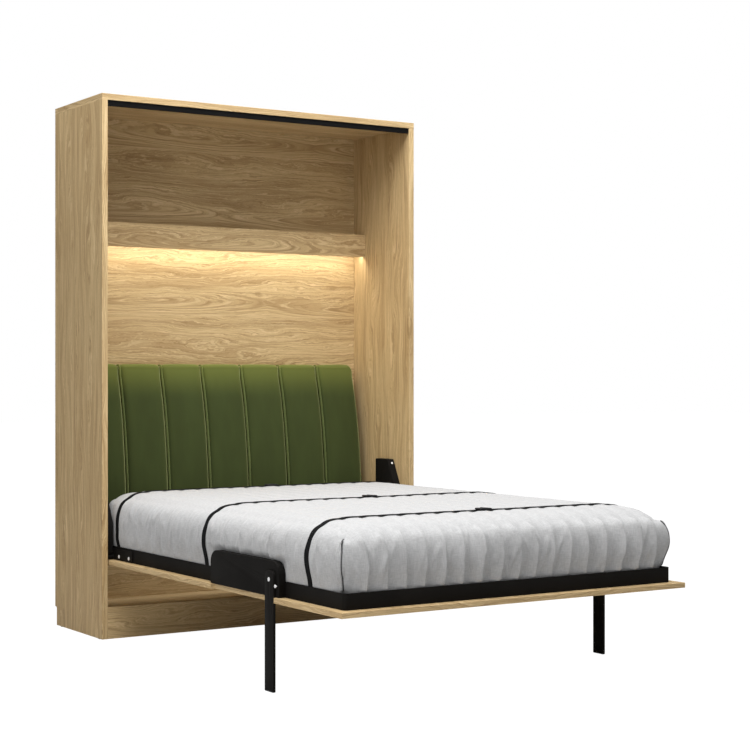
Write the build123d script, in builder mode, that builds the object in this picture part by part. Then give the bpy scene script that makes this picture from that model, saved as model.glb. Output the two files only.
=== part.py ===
from build123d import *
import os
from math import atan2, degrees, hypot

# A vertical wall bed with its bed folded down.
# Millimetres.  +X is right, +Y goes back to the wall, +Z is up.
# The origin is on the floor, in the middle of the footprint of cabinet and bed together.

# ---------------------------------------------------------------- driving dimensions
CABINET_WIDTH = 1490
CABINET_HEIGHT = 2170
CABINET_DEPTH = 487
THICK_BOARD = 25            # side panels and top panel
BOARD = 18                  # every other board
GLIDE_HEIGHT = 3
GLIDE_RADIUS = 10
GLIDE_PLACES = (40, 430)    # behind the cabinet's front plane
BED_REACH = 1765            # cabinet front to the foot edge of the bed's front panel
EDGE_ROUND = 1.2            # softened edge of a banded board

SKIRTING_DEPTH = 17.5       # notch in the side panels that clears the room's skirting
SKIRTING_HEIGHT = 80
SKIRTING_ROUND = 10
PLINTH_TOP = 128.5
BOTTOM_BOARD_Z = 80
BACK_RECESS = 7             # back panel to the rear edges of the side panels
TRIM_HEIGHT = 22
TRIM_DEPTH = 15
TRIM_INSET = 5

SHELF_Z = 1616              # underside of the shelf board
LIP_BOTTOM = 1596
LIP_HEIGHT = 101
LIP_FRONT = 363             # behind the cabinet's front plane

LED_WIDTH = 17
LED_HEIGHT = 8
LED_WALL = 1.2
LED_END_GAP = 5

CUSHION_WIDTH = 1365
CUSHION_BOTTOM = 480
CUSHION_TOP = 1101
CUSHION_FRONT = ((312, CUSHION_BOTTOM), (327, 700), (345, 845), (371, 987), (397, 1080))
CUSHION_SHOULDER = 404      # depth where the front's line meets the top's
CUSHION_CREST = 430
CUSHION_TOP_FALL = 4
HEADBOARD_THICK = 12
HEADBOARD_TOP = 1080

PANEL_WIDTH = 1430
PANEL_BOTTOM = 297          # underside of the bed's front panel when it is open
PANEL_REAR = 221            # head edge, behind the cabinet's front plane
FRAME_HALF = 680.5          # half the outside width of the steel frame
FRAME_HEIGHT = 53.5
FRAME_FRONT = -1725.5       # outside of the foot rail, from the cabinet's front plane
FRAME_REAR = 185
FRAME_CORNER = 14
FRAME_RETURN = 60           # length of the end rails' turned corners
STEEL = 2.5
FLANGE = 40

MATTRESS_HALF = 675
MATTRESS_FRONT = -1718
MATTRESS_REAR = 182
MATTRESS_BOTTOM = 341
MATTRESS_TOP = 580
MATTRESS_ROUND = 60
MATTRESS_CORNER = 70
STRAP_PLACES = (-1510, -780, -12)
STRAP_WIDTH = 27
STRAP_THICK = 1.5
STRAP_GAP = 0.3
STRAP_BOTTOM = 345
BUCKLE_X = 15
BUCKLE = (58, 38, 4)        # ladder buckle of each strap: length, width, thickness
BUCKLE_ROUND = 6
BUCKLE_SLOT = (29, 5)
BUCKLE_SLOT_FROM_MIDDLE = 16

SLAT_COUNT = 14
SLAT_WIDTH = 53
SLAT_THICK = 8
SLAT_HALF = 673

PIVOT_DROP = 29.5           # pivot above the panel's underside, and behind the front plane
PIN_RADIUS = 6
PIN_HEAD_RADIUS = 8.5
PIN_HEAD_HOLE = 9.2
BOSS_RADIUS = 10
BUSH_THICK = 0.9
RUNNING_GAP = 0.05          # radial clearance of a pin in the hole that turns on it
PLAY = 0.1                  # sideways clearance beside the pivots
ARM_THICK = 5
ARM_FRONT = -152
ARM_BOTTOM = 318
ARM_TOP = 360
ARM_SCREWS = ((-30, 331), (-122, 331))
ARM_SCREW_HEAD = 1.5
ARM_NECK = (25, 30)         # where the arm widens above and below, behind the pivot
LEVER_END = (-8, 13, 13, -10)       # lever pin to the arm's end: front, rear, above, below
ARM_ROUND = 6
LEVER_ROUND = 9
LEVER = (70, 35)            # lever pin from the bed pivot
LEVER_PIN_RADIUS = 4

PLATE_THICK = 3
COVER_THICK = 2
COVER_FACE = 32             # face of the mechanism cover to the side wall
COVER_FRONT = 22
COVER_REAR = 225
COVER_TOP = 674
COVER_TOP_FRONT = 127
COVER_KNEE = 460
COVER_BOTTOM = 340
COVER_ROUND = 6
COVER_SLOT = 28             # width of the slot that the lever pin moves in
COVER_SCREW_Z = 655
COVER_SCREW_FROM_WALL = 14
COVER_POST_RADIUS = 7
COVER_POST_LENGTH = 20
PLATE_BOTTOM = 285
SPRING_ANCHOR = (150, 640)
SPRING_FROM_WALL = 18       # centre line of the gas spring to the side wall
CYLINDER_RADIUS = 9
CYLINDER_LENGTH = 200
BORE_RADIUS = 7.5
ROD_RADIUS = 4
EYE_WIDTH = 12

LEG_PIVOT = (-1302, 373)
LEG_WIDTH = 59
LEG_THICK = 9
LEG_ABOVE = 29              # leg above its pivot
FOOT_THICK = 4
FOOT_CHAMFER = 3
LEG_ROUND = 20
BRACKET_FRONT = -1352
BRACKET_REAR = -860
BRACKET_TOP = 434
BRACKET_ROUND = 45
BRACKET_DEPTH = 24.5
STOP_BOLT = (-1338, 353)
STOP_BOLT_RADIUS = 3
STOP_HEAD_RADIUS = 5.5
BOLT_HEAD_RADIUS = 7
LEG_NUT = 6
STOP_NUT = 5
STOP_BOLT_REACH = 8         # stop bolt's head in front of the bracket, beside the leg
NOTCH_FRONT = -1335
NOTCH_REAR = -880
NOTCH_INNER = 700

WALL_HOLE_RADIUS = 4.5
WALL_HOLE_SPACING = 812.8   # two stud spaces
WALL_HOLE_Z = 1666

# ---------------------------------------------------------------- places worked out from them
FRONT = (BED_REACH - CABINET_DEPTH) / 2
BACK = FRONT + CABINET_DEPTH
INNER = CABINET_WIDTH / 2 - THICK_BOARD
TOP_UNDERSIDE = CABINET_HEIGHT - THICK_BOARD
BACK_PANEL_REAR = BACK - BACK_RECESS
BACK_PANEL_FRONT = BACK_PANEL_REAR - BOARD
BOTTOM_BOARD_TOP = BOTTOM_BOARD_Z + BOARD
LIP_REAR = FRONT + LIP_FRONT + BOARD
PANEL_TOP = PANEL_BOTTOM + BOARD
FRAME_TOP = PANEL_TOP + FRAME_HEIGHT
FRAME_LENGTH = FRAME_REAR - FRAME_FRONT
WEB_INNER = FRAME_HALF - STEEL
PIVOT_Y = FRONT + PIVOT_DROP
PIVOT_Z = PANEL_BOTTOM + PIVOT_DROP
ARM_OUTER = FRAME_HALF + ARM_THICK
PLATE_FACE = INNER - PLATE_THICK
COVER_INNER = INNER - COVER_FACE
SPRING_X = INNER - SPRING_FROM_WALL
ANCHOR_Y = FRONT + SPRING_ANCHOR[0]
ANCHOR_Z = SPRING_ANCHOR[1]
LEVER_Y = PIVOT_Y + LEVER[0]
LEVER_Z = PIVOT_Z + LEVER[1]
SPRING_LENGTH = hypot(LEVER_Y - ANCHOR_Y, LEVER_Z - ANCHOR_Z)
BRACKET_FACE = FRAME_HALF + BRACKET_DEPTH
LEG_INNER = BRACKET_FACE + 0.5
LEG_Y = FRONT + LEG_PIVOT[0]
LEG_Z = LEG_PIVOT[1]
SLAT_BOTTOM = MATTRESS_BOTTOM - SLAT_THICK
DOWEL_RADIUS = 4
DOWEL_SIDE = 20
DOWEL_TOP = 12
DOWEL_PLACES = (60, 240, 420)
CAM_RADIUS = 7.5
CAM_DEPTH = 12.5
CAM_FROM_END = 34
CAM_BOLT_RADIUS = 3.5
CAM_BOLT_IN_SIDE = 12
BOTTOM_CAMS = (100, 380)
SHELF_CAMS = (425, 460)
PLATE_SCREWS = ((45, 300), (205, 300), (205, 600), (205, 440))
COVER_SLOPE = (COVER_TOP_FRONT - COVER_FRONT, COVER_TOP - COVER_KNEE)
COVER_SCREW_DEPTH = COVER_FRONT + COVER_SLOPE[0] * (COVER_SCREW_Z - COVER_KNEE) / COVER_SLOPE[1]
SCREW_RADIUS = 2.5
SCREW_HEAD = 2              # height of a screw head, whose radius is twice the screw's
SCREW_DEPTH = 15
HEADBOARD_SCREW_DEPTH = 10
HEADBOARD_SCREWS = ((-500, 600), (0, 600), (500, 600), (-500, 950), (0, 950), (500, 950))
STRAP_PLATE = (1000, 40, 3)     # steel strap behind the back panel: length, height, thickness
STRAP_SCREWS = ((-470, WALL_HOLE_Z), (0, WALL_HOLE_Z), (470, WALL_HOLE_Z))
BRACKET_SCREWS = ((-1290, 329), (-1106, 329), (-922, 329))
SIDES = {"left": -1, "right": 1}

os.makedirs("parts", exist_ok=True)


def save(piece, name):
    """Label a finished piece and write it to its own file."""
    piece.part.label = name
    export_step(piece.part, f"parts/{name}.step")


def wall_plane(side, x):
    """Plane of the side walls at the distance x from the middle; its axes are Y and Z."""
    return Plane.YZ.offset(side * x)


def board(x_half, y_from, y_to, z_from, z_to):
    """Add a plain board between two depths and two heights, centred on X."""
    with BuildSketch(Plane.XY.offset(z_from)) as plan:
        with Locations((0, (y_from + y_to) / 2)):
            Rectangle(2 * x_half, y_to - y_from)
    extrude(plan.sketch, amount=z_to - z_from)


def discs(plane, places, radius, depth, mode=Mode.ADD):
    """Add or cut round bars of one radius, standing on a plane at the places given."""
    with BuildSketch(plane) as rounds:
        with Locations(*places):
            Circle(radius)
    extrude(rounds.sketch, amount=depth, mode=mode)


def from_front(places):
    """Turn places given from the cabinet's front plane into places in the part's own frame."""
    return [(FRONT + depth, height) for depth, height in places]


# ---------------------------------------------------------------- cabinet boards
def side_panel(name, side):
    """Side board with its skirting notch and its holes for dowels, cam bolts and screws."""
    with BuildPart() as panel:
        with BuildSketch(wall_plane(side, INNER)) as outline:
            with BuildLine():
                Polyline(
                    (FRONT, GLIDE_HEIGHT),
                    (BACK - SKIRTING_DEPTH, GLIDE_HEIGHT),
                    (BACK - SKIRTING_DEPTH, SKIRTING_HEIGHT),
                    (BACK, SKIRTING_HEIGHT),
                    (BACK, TOP_UNDERSIDE),
                    (FRONT, TOP_UNDERSIDE),
                    close=True,
                )
            make_face()
            low, high = SKIRTING_HEIGHT - 1, SKIRTING_HEIGHT + 1
            notch_corners = outline.vertices().filter_by_position(Axis.Y, low, high)
            fillet(notch_corners.sort_by(Axis.X)[0], SKIRTING_ROUND)
        extrude(amount=side * THICK_BOARD)
        front_edges = panel.edges().filter_by(Axis.Z).group_by(Axis.Y)[0]
        fillet(front_edges, EDGE_ROUND)
        middle = side * (INNER + THICK_BOARD / 2)
        dowels = [(middle, FRONT + y) for y in DOWEL_PLACES]
        dowel_ends = Plane.XY.offset(TOP_UNDERSIDE - DOWEL_SIDE)
        discs(dowel_ends, dowels, DOWEL_RADIUS, DOWEL_SIDE, Mode.SUBTRACT)
        bolts = [(y, BOTTOM_BOARD_Z + BOARD / 2) for y in BOTTOM_CAMS]
        bolts += [(y, SHELF_Z + BOARD / 2) for y in SHELF_CAMS]
        face = wall_plane(side, INNER)
        discs(face, from_front(bolts), CAM_BOLT_RADIUS, side * CAM_BOLT_IN_SIDE, Mode.SUBTRACT)
        discs(face, from_front(PLATE_SCREWS), SCREW_RADIUS, side * SCREW_DEPTH, Mode.SUBTRACT)
    save(panel, name)


def top_panel():
    """Top board, which lies over both side panels."""
    with BuildPart() as top:
        board(CABINET_WIDTH / 2, FRONT, BACK, TOP_UNDERSIDE, CABINET_HEIGHT)
        fillet(top.edges().filter_by(Axis.X).group_by(Axis.Y)[0], EDGE_ROUND)
        middle = INNER + THICK_BOARD / 2
        dowels = [(side * middle, FRONT + y) for side in SIDES.values() for y in DOWEL_PLACES]
        discs(Plane.XY.offset(TOP_UNDERSIDE), dowels, DOWEL_RADIUS, DOWEL_TOP, Mode.SUBTRACT)
    save(top, "top_panel")


def cut_cam_holes(z, places):
    """Cut the cam pockets into a board's underside and the bolt holes into its ends."""
    pockets = [(side * (INNER - CAM_FROM_END), FRONT + y) for side in SIDES.values() for y in places]
    discs(Plane.XY.offset(z), pockets, CAM_RADIUS, CAM_DEPTH, Mode.SUBTRACT)
    ends = from_front([(y, z + BOARD / 2) for y in places])
    for side in SIDES.values():
        pocket_plane = wall_plane(side, INNER - CAM_FROM_END)
        discs(pocket_plane, ends, CAM_BOLT_RADIUS, side * CAM_FROM_END, Mode.SUBTRACT)


def plain_boards():
    """Boards between the side panels: bottom, plinth, two back panels, shelf and its lip."""
    with BuildPart() as bottom:
        board(INNER, FRONT + BOARD, BACK_PANEL_REAR, BOTTOM_BOARD_Z, BOTTOM_BOARD_TOP)
        cut_cam_holes(BOTTOM_BOARD_Z, BOTTOM_CAMS)
    save(bottom, "bottom_board")

    with BuildPart() as plinth:
        board(INNER, FRONT, FRONT + BOARD, GLIDE_HEIGHT, PLINTH_TOP)
        fillet(plinth.edges().filter_by(Axis.X).group_by(Axis.Z)[-1], EDGE_ROUND)
    save(plinth, "plinth_board")

    with BuildPart() as lower:
        board(INNER, BACK_PANEL_FRONT, BACK_PANEL_REAR, BOTTOM_BOARD_TOP, SHELF_Z)
        discs(Plane.XZ.offset(-BACK_PANEL_REAR), HEADBOARD_SCREWS, SCREW_RADIUS, BOARD, Mode.SUBTRACT)
    save(lower, "back_panel_lower")

    with BuildPart() as upper:
        board(INNER, BACK_PANEL_FRONT, BACK_PANEL_REAR, SHELF_Z + BOARD, TOP_UNDERSIDE)
        rear = Plane.XZ.offset(-BACK_PANEL_REAR)
        discs(rear, wall_holes(), WALL_HOLE_RADIUS, BOARD, Mode.SUBTRACT)
        discs(rear, STRAP_SCREWS, SCREW_RADIUS, SCREW_DEPTH, Mode.SUBTRACT)
    save(upper, "back_panel_upper")

    with BuildPart() as shelf:
        board(INNER, LIP_REAR, BACK_PANEL_REAR, SHELF_Z, SHELF_Z + BOARD)
        cut_cam_holes(SHELF_Z, SHELF_CAMS)
    save(shelf, "shelf_board")

    with BuildPart() as lip:
        board(INNER, FRONT + LIP_FRONT, LIP_REAR, LIP_BOTTOM, LIP_BOTTOM + LIP_HEIGHT)
        fillet(lip.edges().filter_by(Axis.X).group_by(Axis.Y)[0], EDGE_ROUND)
    save(lip, "shelf_lip")


def wall_holes():
    """Places of the two wall-fixing holes, as width and height."""
    return [(-WALL_HOLE_SPACING / 2, WALL_HOLE_Z), (WALL_HOLE_SPACING / 2, WALL_HOLE_Z)]


def top_trim():
    """Black closing strip below the top panel, above the closed bed."""
    with BuildPart() as trim:
        y_from = FRONT + TRIM_INSET
        board(INNER, y_from, y_from + TRIM_DEPTH, TOP_UNDERSIDE - TRIM_HEIGHT, TOP_UNDERSIDE)
    save(trim, "top_trim")


def cabinet_fittings():
    """Dowels, cam fittings, glides, the wall strap and the screws in the back panel."""
    middle = INNER + THICK_BOARD / 2
    with BuildPart() as dowels:
        places = [(side * middle, FRONT + y) for side in SIDES.values() for y in DOWEL_PLACES]
        discs(Plane.XY.offset(TOP_UNDERSIDE - DOWEL_SIDE), places, DOWEL_RADIUS, DOWEL_SIDE + DOWEL_TOP)
    save(dowels, "cabinet_dowels")

    with BuildPart() as cams:
        for side in SIDES.values():
            for z, places in ((BOTTOM_BOARD_Z, BOTTOM_CAMS), (SHELF_Z, SHELF_CAMS)):
                pockets = [(side * (INNER - CAM_FROM_END), FRONT + y) for y in places]
                discs(Plane.XY.offset(z), pockets, CAM_RADIUS, CAM_DEPTH)
                ends = from_front([(y, z + BOARD / 2) for y in places])
                length = CAM_FROM_END + CAM_BOLT_IN_SIDE
                discs(wall_plane(side, INNER - CAM_FROM_END), ends, CAM_BOLT_RADIUS, side * length)
    save(cams, "cam_fittings")

    with BuildPart() as glides:
        places = [(side * middle, FRONT + y) for side in SIDES.values() for y in GLIDE_PLACES]
        discs(Plane.XY, places, GLIDE_RADIUS, GLIDE_HEIGHT)
        chamfer(glides.edges().group_by(Axis.Z)[0], 0.8)
    save(glides, "floor_glides")

    length, height, thick = STRAP_PLATE
    strap_rear = BACK_PANEL_REAR + thick
    with BuildPart() as strap:
        board(length / 2, BACK_PANEL_REAR, strap_rear, WALL_HOLE_Z - height / 2, WALL_HOLE_Z + height / 2)
        rear = Plane.XZ.offset(-strap_rear)
        discs(rear, wall_holes(), WALL_HOLE_RADIUS, thick, Mode.SUBTRACT)
        discs(rear, STRAP_SCREWS, SCREW_RADIUS, thick, Mode.SUBTRACT)
    save(strap, "wall_strap")

    with BuildPart() as screws:
        head = Plane.XZ.offset(-BACK_PANEL_REAR - SCREW_HEAD)
        discs(head, HEADBOARD_SCREWS, 2 * SCREW_RADIUS, SCREW_HEAD)
        shank = SCREW_HEAD + BOARD + HEADBOARD_SCREW_DEPTH
        discs(head, HEADBOARD_SCREWS, SCREW_RADIUS, shank)
        strap_head = Plane.XZ.offset(-strap_rear - SCREW_HEAD)
        discs(strap_head, STRAP_SCREWS, 2 * SCREW_RADIUS, SCREW_HEAD)
        discs(strap_head, STRAP_SCREWS, SCREW_RADIUS, SCREW_HEAD + thick + SCREW_DEPTH)
    save(screws, "back_screws")


def led_light():
    """Aluminium profile on the shelf's underside with its lamp strip and diffuser."""
    half = INNER - LED_END_GAP
    y_from = LIP_REAR + 4
    y_to = y_from + LED_WIDTH
    z_from = SHELF_Z - LED_HEIGHT
    with BuildPart() as profile:
        board(half, y_from, y_to, z_from, SHELF_Z)
        with BuildSketch(Plane.XY.offset(z_from)):
            with Locations((0, (y_from + y_to) / 2)):
                Rectangle(2 * half, LED_WIDTH - 2 * LED_WALL)
        extrude(amount=LED_HEIGHT - LED_WALL, mode=Mode.SUBTRACT)
    save(profile, "led_profile")

    with BuildPart() as strip:
        centre = (y_from + y_to) / 2
        board(half, centre - 5, centre + 5, SHELF_Z - LED_WALL - 1, SHELF_Z - LED_WALL)
    save(strip, "led_strip")

    with BuildPart() as diffuser:
        board(half, y_from + LED_WALL, y_to - LED_WALL, z_from, z_from + 1.5)
    save(diffuser, "led_diffuser")


def headboard():
    """Backing board on the back panel and the soft wedge of the headboard cushion."""
    board_front = BACK_PANEL_FRONT - HEADBOARD_THICK
    half = CUSHION_WIDTH / 2 - 10
    with BuildPart() as backing:
        board(half, board_front, BACK_PANEL_FRONT, CUSHION_BOTTOM + 10, HEADBOARD_TOP)
        rear = Plane.XZ.offset(-BACK_PANEL_FRONT)
        discs(rear, HEADBOARD_SCREWS, SCREW_RADIUS, HEADBOARD_SCREW_DEPTH, Mode.SUBTRACT)
    save(backing, "headboard_board")

    with BuildPart() as cushion:
        with BuildSketch(wall_plane(-1, CUSHION_WIDTH / 2)):
            with BuildLine():
                front = Spline(*[(FRONT + depth, height) for depth, height in CUSHION_FRONT])
                round_top = (FRONT + CUSHION_CREST, CUSHION_TOP)
                Bezier(front @ 1, (FRONT + CUSHION_SHOULDER, CUSHION_TOP), round_top)
                Polyline(
                    round_top,
                    (BACK_PANEL_FRONT, CUSHION_TOP - CUSHION_TOP_FALL),
                    (BACK_PANEL_FRONT, HEADBOARD_TOP),
                    (board_front, HEADBOARD_TOP),
                    (board_front, CUSHION_BOTTOM),
                    front @ 0,
                )
            make_face()
        extrude(amount=CUSHION_WIDTH)
    save(cushion, "headboard_cushion")


# ---------------------------------------------------------------- fold-down mechanism
def cover_outline(margin, bottom):
    """Outline of the mechanism cover as depth and height, drawn in by a margin."""
    return [
        (FRONT + COVER_FRONT + margin, bottom),
        (FRONT + COVER_FRONT + margin, COVER_KNEE),
        (FRONT + COVER_TOP_FRONT + margin, COVER_TOP - margin),
        (FRONT + COVER_REAR - margin, COVER_TOP - margin),
        (FRONT + COVER_REAR - margin, bottom),
    ]


def cover_screw_plane(side, depth):
    """Plane square to the cover's sloping front at its screw, at a depth below the cover's face."""
    slope = hypot(*COVER_SLOPE)
    inward = (0, COVER_SLOPE[1] / slope, -COVER_SLOPE[0] / slope)
    origin = (
        side * (INNER - COVER_SCREW_FROM_WALL),
        FRONT + COVER_SCREW_DEPTH + depth * inward[1],
        COVER_SCREW_Z + depth * inward[2],
    )
    return Plane(origin=origin, x_dir=(1, 0, 0), z_dir=inward)


def mechanism_plate(name, side):
    """Steel wall plate with the pivot boss, the gas spring's anchor stud and the cover's post."""
    with BuildPart() as plate:
        with BuildSketch(wall_plane(side, INNER)):
            with BuildLine():
                Polyline(*cover_outline(0, PLATE_BOTTOM), close=True)
            make_face()
        extrude(amount=-side * PLATE_THICK)
        face = wall_plane(side, PLATE_FACE)
        discs(face, [(PIVOT_Y, PIVOT_Z)], BOSS_RADIUS, -side * (PLATE_FACE - ARM_OUTER - 1))
        stud = PLATE_FACE - SPRING_X + EYE_WIDTH / 2 + 1
        discs(face, [(ANCHOR_Y, ANCHOR_Z)], LEVER_PIN_RADIUS, -side * stud)
        post = cover_screw_plane(side, COVER_THICK + COVER_POST_RADIUS + 1).origin
        discs(face, [(post.Y, post.Z)], COVER_POST_RADIUS, -side * COVER_POST_LENGTH)
        screw_start = cover_screw_plane(side, COVER_THICK)
        discs(screw_start, [(0, 0)], SCREW_RADIUS, COVER_POST_RADIUS, Mode.SUBTRACT)
        inner_end = wall_plane(side, ARM_OUTER + 1)
        pin_depth = PLATE_FACE + PLATE_THICK / 2 - ARM_OUTER - 1
        discs(inner_end, [(PIVOT_Y, PIVOT_Z)], PIN_RADIUS, side * pin_depth, Mode.SUBTRACT)
        wall = wall_plane(side, INNER)
        discs(wall, from_front(PLATE_SCREWS), SCREW_RADIUS, -side * PLATE_THICK, Mode.SUBTRACT)
    save(plate, name)


def pivot_pin(name, side):
    """Pin that the bed turns on, with a flat head inside the bed's side rail."""
    head_from = WEB_INNER + 2 * PLAY
    head_to = FRAME_HALF - PLAY
    pivot = [(PIVOT_Y, PIVOT_Z)]
    with BuildPart() as pin:
        discs(wall_plane(side, head_from), pivot, PIN_HEAD_RADIUS, side * (head_to - head_from))
        shank = PLATE_FACE + PLATE_THICK / 2 - head_to
        discs(wall_plane(side, head_to), pivot, PIN_RADIUS, side * shank)
    save(pin, name)


def mechanism_cover(name, side):
    """Sheet cover over the gas spring, open at the bottom and slotted for the lever pin."""
    with BuildPart() as cover:
        with BuildSketch(wall_plane(side, COVER_INNER)):
            with BuildLine():
                Polyline(*cover_outline(0, COVER_BOTTOM), close=True)
            make_face()
        extrude(amount=side * (PLATE_FACE - COVER_INNER))
        corner_edges = cover.edges().filter_by(Axis.X).group_by(Axis.Z)[-1]
        fillet(corner_edges, COVER_ROUND)
        with BuildSketch(wall_plane(side, COVER_INNER + COVER_THICK)):
            with BuildLine():
                Polyline(*cover_outline(COVER_THICK, COVER_BOTTOM - 5), close=True)
            make_face()
        extrude(amount=side * (PLATE_FACE - COVER_INNER), mode=Mode.SUBTRACT)
        with BuildSketch(wall_plane(side, COVER_INNER)):
            with Locations((LEVER_Y + LEVER_PIN_RADIUS, COVER_BOTTOM)):
                Rectangle(COVER_SLOT, 2 * (LEVER_Z + CYLINDER_RADIUS - COVER_BOTTOM))
        extrude(amount=side * COVER_THICK, mode=Mode.SUBTRACT)
        hole_depth = 2 * COVER_THICK
        discs(cover_screw_plane(side, -1), [(0, 0)], SCREW_RADIUS, hole_depth, Mode.SUBTRACT)
    save(cover, name)


def mechanism_hardware():
    """Screws of the wall plates and covers, and the bushes beside the bed's arms."""
    with BuildPart() as screws:
        for side in SIDES.values():
            face = wall_plane(side, PLATE_FACE)
            discs(face, from_front(PLATE_SCREWS), 2 * SCREW_RADIUS, -side * SCREW_HEAD)
            discs(face, from_front(PLATE_SCREWS), SCREW_RADIUS, side * (PLATE_THICK + SCREW_DEPTH))
            head = cover_screw_plane(side, -SCREW_HEAD)
            discs(head, [(0, 0)], 2 * SCREW_RADIUS, SCREW_HEAD)
            discs(head, [(0, 0)], SCREW_RADIUS, SCREW_HEAD + COVER_THICK + COVER_POST_RADIUS)
    save(screws, "mechanism_screws")

    with BuildPart() as bushes:
        for side in SIDES.values():
            plane = wall_plane(side, ARM_OUTER + PLAY)
            discs(plane, [(PIVOT_Y, PIVOT_Z)], BOSS_RADIUS, side * BUSH_THICK)
            discs(plane, [(PIVOT_Y, PIVOT_Z)], PIN_RADIUS, side * BUSH_THICK, Mode.SUBTRACT)
    save(bushes, "pivot_bushes")


def spring_plane(side, distance):
    """Plane square to the gas spring, at a distance from its anchor towards the lever pin."""
    along = (0, (LEVER_Y - ANCHOR_Y) / SPRING_LENGTH, (LEVER_Z - ANCHOR_Z) / SPRING_LENGTH)
    origin = (side * SPRING_X, ANCHOR_Y + distance * along[1], ANCHOR_Z + distance * along[2])
    return Plane(origin=origin, x_dir=(1, 0, 0), z_dir=along)


def gas_cylinder(name, side):
    """Gas spring cylinder, hung by its eye on the anchor stud."""
    eye_plane = wall_plane(side, SPRING_X - EYE_WIDTH / 2)
    with BuildPart() as cylinder:
        discs(spring_plane(side, 4), [(0, 0)], CYLINDER_RADIUS, CYLINDER_LENGTH - 4)
        discs(eye_plane, [(ANCHOR_Y, ANCHOR_Z)], CYLINDER_RADIUS, side * EYE_WIDTH)
        discs(spring_plane(side, 16), [(0, 0)], BORE_RADIUS, CYLINDER_LENGTH - 22, Mode.SUBTRACT)
        guide = ROD_RADIUS + RUNNING_GAP
        discs(spring_plane(side, CYLINDER_LENGTH - 10), [(0, 0)], guide, 12, Mode.SUBTRACT)
        hole = LEVER_PIN_RADIUS + RUNNING_GAP
        discs(wall_plane(side, SPRING_X - 10), [(ANCHOR_Y, ANCHOR_Z)], hole, side * 20, Mode.SUBTRACT)
    save(cylinder, name)


def gas_rod(name, side):
    """Gas spring rod with its piston and the eye beside the lever pin."""
    eye_plane = wall_plane(side, SPRING_X - EYE_WIDTH / 2 + 0.5)
    with BuildPart() as rod:
        discs(spring_plane(side, 20), [(0, 0)], BORE_RADIUS - 0.08, 10)
        discs(spring_plane(side, 25), [(0, 0)], ROD_RADIUS, SPRING_LENGTH - 25)
        discs(eye_plane, [(LEVER_Y, LEVER_Z)], 2 * LEVER_PIN_RADIUS, side * EYE_WIDTH)
        discs(eye_plane, [(LEVER_Y, LEVER_Z)], LEVER_PIN_RADIUS, side * EYE_WIDTH, Mode.SUBTRACT)
    save(rod, name)


# ---------------------------------------------------------------- folding bed
def front_panel():
    """Board under the open bed, which closes the cabinet when the bed is folded up."""
    foot = FRONT - BED_REACH
    with BuildPart() as panel:
        board(PANEL_WIDTH / 2, foot, FRONT + PANEL_REAR, PANEL_BOTTOM, PANEL_TOP)
        notch_depth = PANEL_WIDTH / 2 - NOTCH_INNER
        notch_middle = FRONT + (NOTCH_FRONT + NOTCH_REAR) / 2
        with BuildSketch(Plane.XY.offset(PANEL_BOTTOM)):
            with Locations((-PANEL_WIDTH / 2, notch_middle), (PANEL_WIDTH / 2, notch_middle)):
                RectangleRounded(2 * notch_depth, NOTCH_REAR - NOTCH_FRONT, 3)
        extrude(amount=BOARD, mode=Mode.SUBTRACT)
        fillet(panel.edges().filter_by(Axis.X).group_by(Axis.Y)[0], EDGE_ROUND)
    save(panel, "front_panel")


def frame_outline(inset, corner, mode=Mode.ADD):
    """Add or cut the rounded plan outline of the steel frame, drawn in by an inset."""
    width = 2 * (FRAME_HALF - inset)
    with Locations((0, FRONT + (FRAME_FRONT + FRAME_REAR) / 2)):
        RectangleRounded(width, FRAME_LENGTH - 2 * inset, corner, mode=mode)


def end_rail(name, outer, inward):
    """Folded foot or head rail with turned corners and a flange on the panel."""
    middle = FRONT + (FRAME_FRONT + FRAME_REAR) / 2
    with BuildPart() as rail:
        with BuildSketch(Plane.XY.offset(PANEL_TOP)):
            frame_outline(0, FRAME_CORNER)
            frame_outline(STEEL, FRAME_CORNER - STEEL, Mode.SUBTRACT)
        extrude(amount=FRAME_HEIGHT)
        with BuildSketch(Plane.XY.offset(PANEL_TOP)):
            frame_outline(0, FRAME_CORNER)
            with Locations((0, middle)):
                Rectangle(2 * (FRAME_HALF - FLANGE), FRAME_LENGTH - 2 * FLANGE, mode=Mode.SUBTRACT)
        extrude(amount=STEEL)
        with BuildSketch(Plane.XY.offset(PANEL_TOP)):
            with Locations((0, FRONT + outer + inward * FRAME_RETURN / 2)):
                Rectangle(2 * FRAME_HALF, FRAME_RETURN)
        extrude(amount=FRAME_HEIGHT, mode=Mode.INTERSECT)
    save(rail, name)


def side_rail(name, side):
    """Folded side rail, with its holes for the pivot pin's head, arm screws and bracket screws."""
    with BuildPart() as rail:
        with BuildSketch(Plane.XZ.offset(-(FRONT + FRAME_REAR - FRAME_RETURN))):
            with BuildLine():
                Polyline(
                    (side * FRAME_HALF, PANEL_TOP),
                    (side * FRAME_HALF, FRAME_TOP),
                    (side * WEB_INNER, FRAME_TOP),
                    (side * WEB_INNER, PANEL_TOP + STEEL),
                    (side * (FRAME_HALF - FLANGE), PANEL_TOP + STEEL),
                    (side * (FRAME_HALF - FLANGE), PANEL_TOP),
                    close=True,
                )
            make_face()
        extrude(amount=FRAME_LENGTH - 2 * FRAME_RETURN)
        inside = wall_plane(side, WEB_INNER)
        discs(inside, [(PIVOT_Y, PIVOT_Z)], PIN_HEAD_HOLE, side * STEEL, Mode.SUBTRACT)
        fixings = from_front(ARM_SCREWS + BRACKET_SCREWS)
        discs(inside, fixings, SCREW_RADIUS, side * STEEL, Mode.SUBTRACT)
    save(rail, name)


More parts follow.
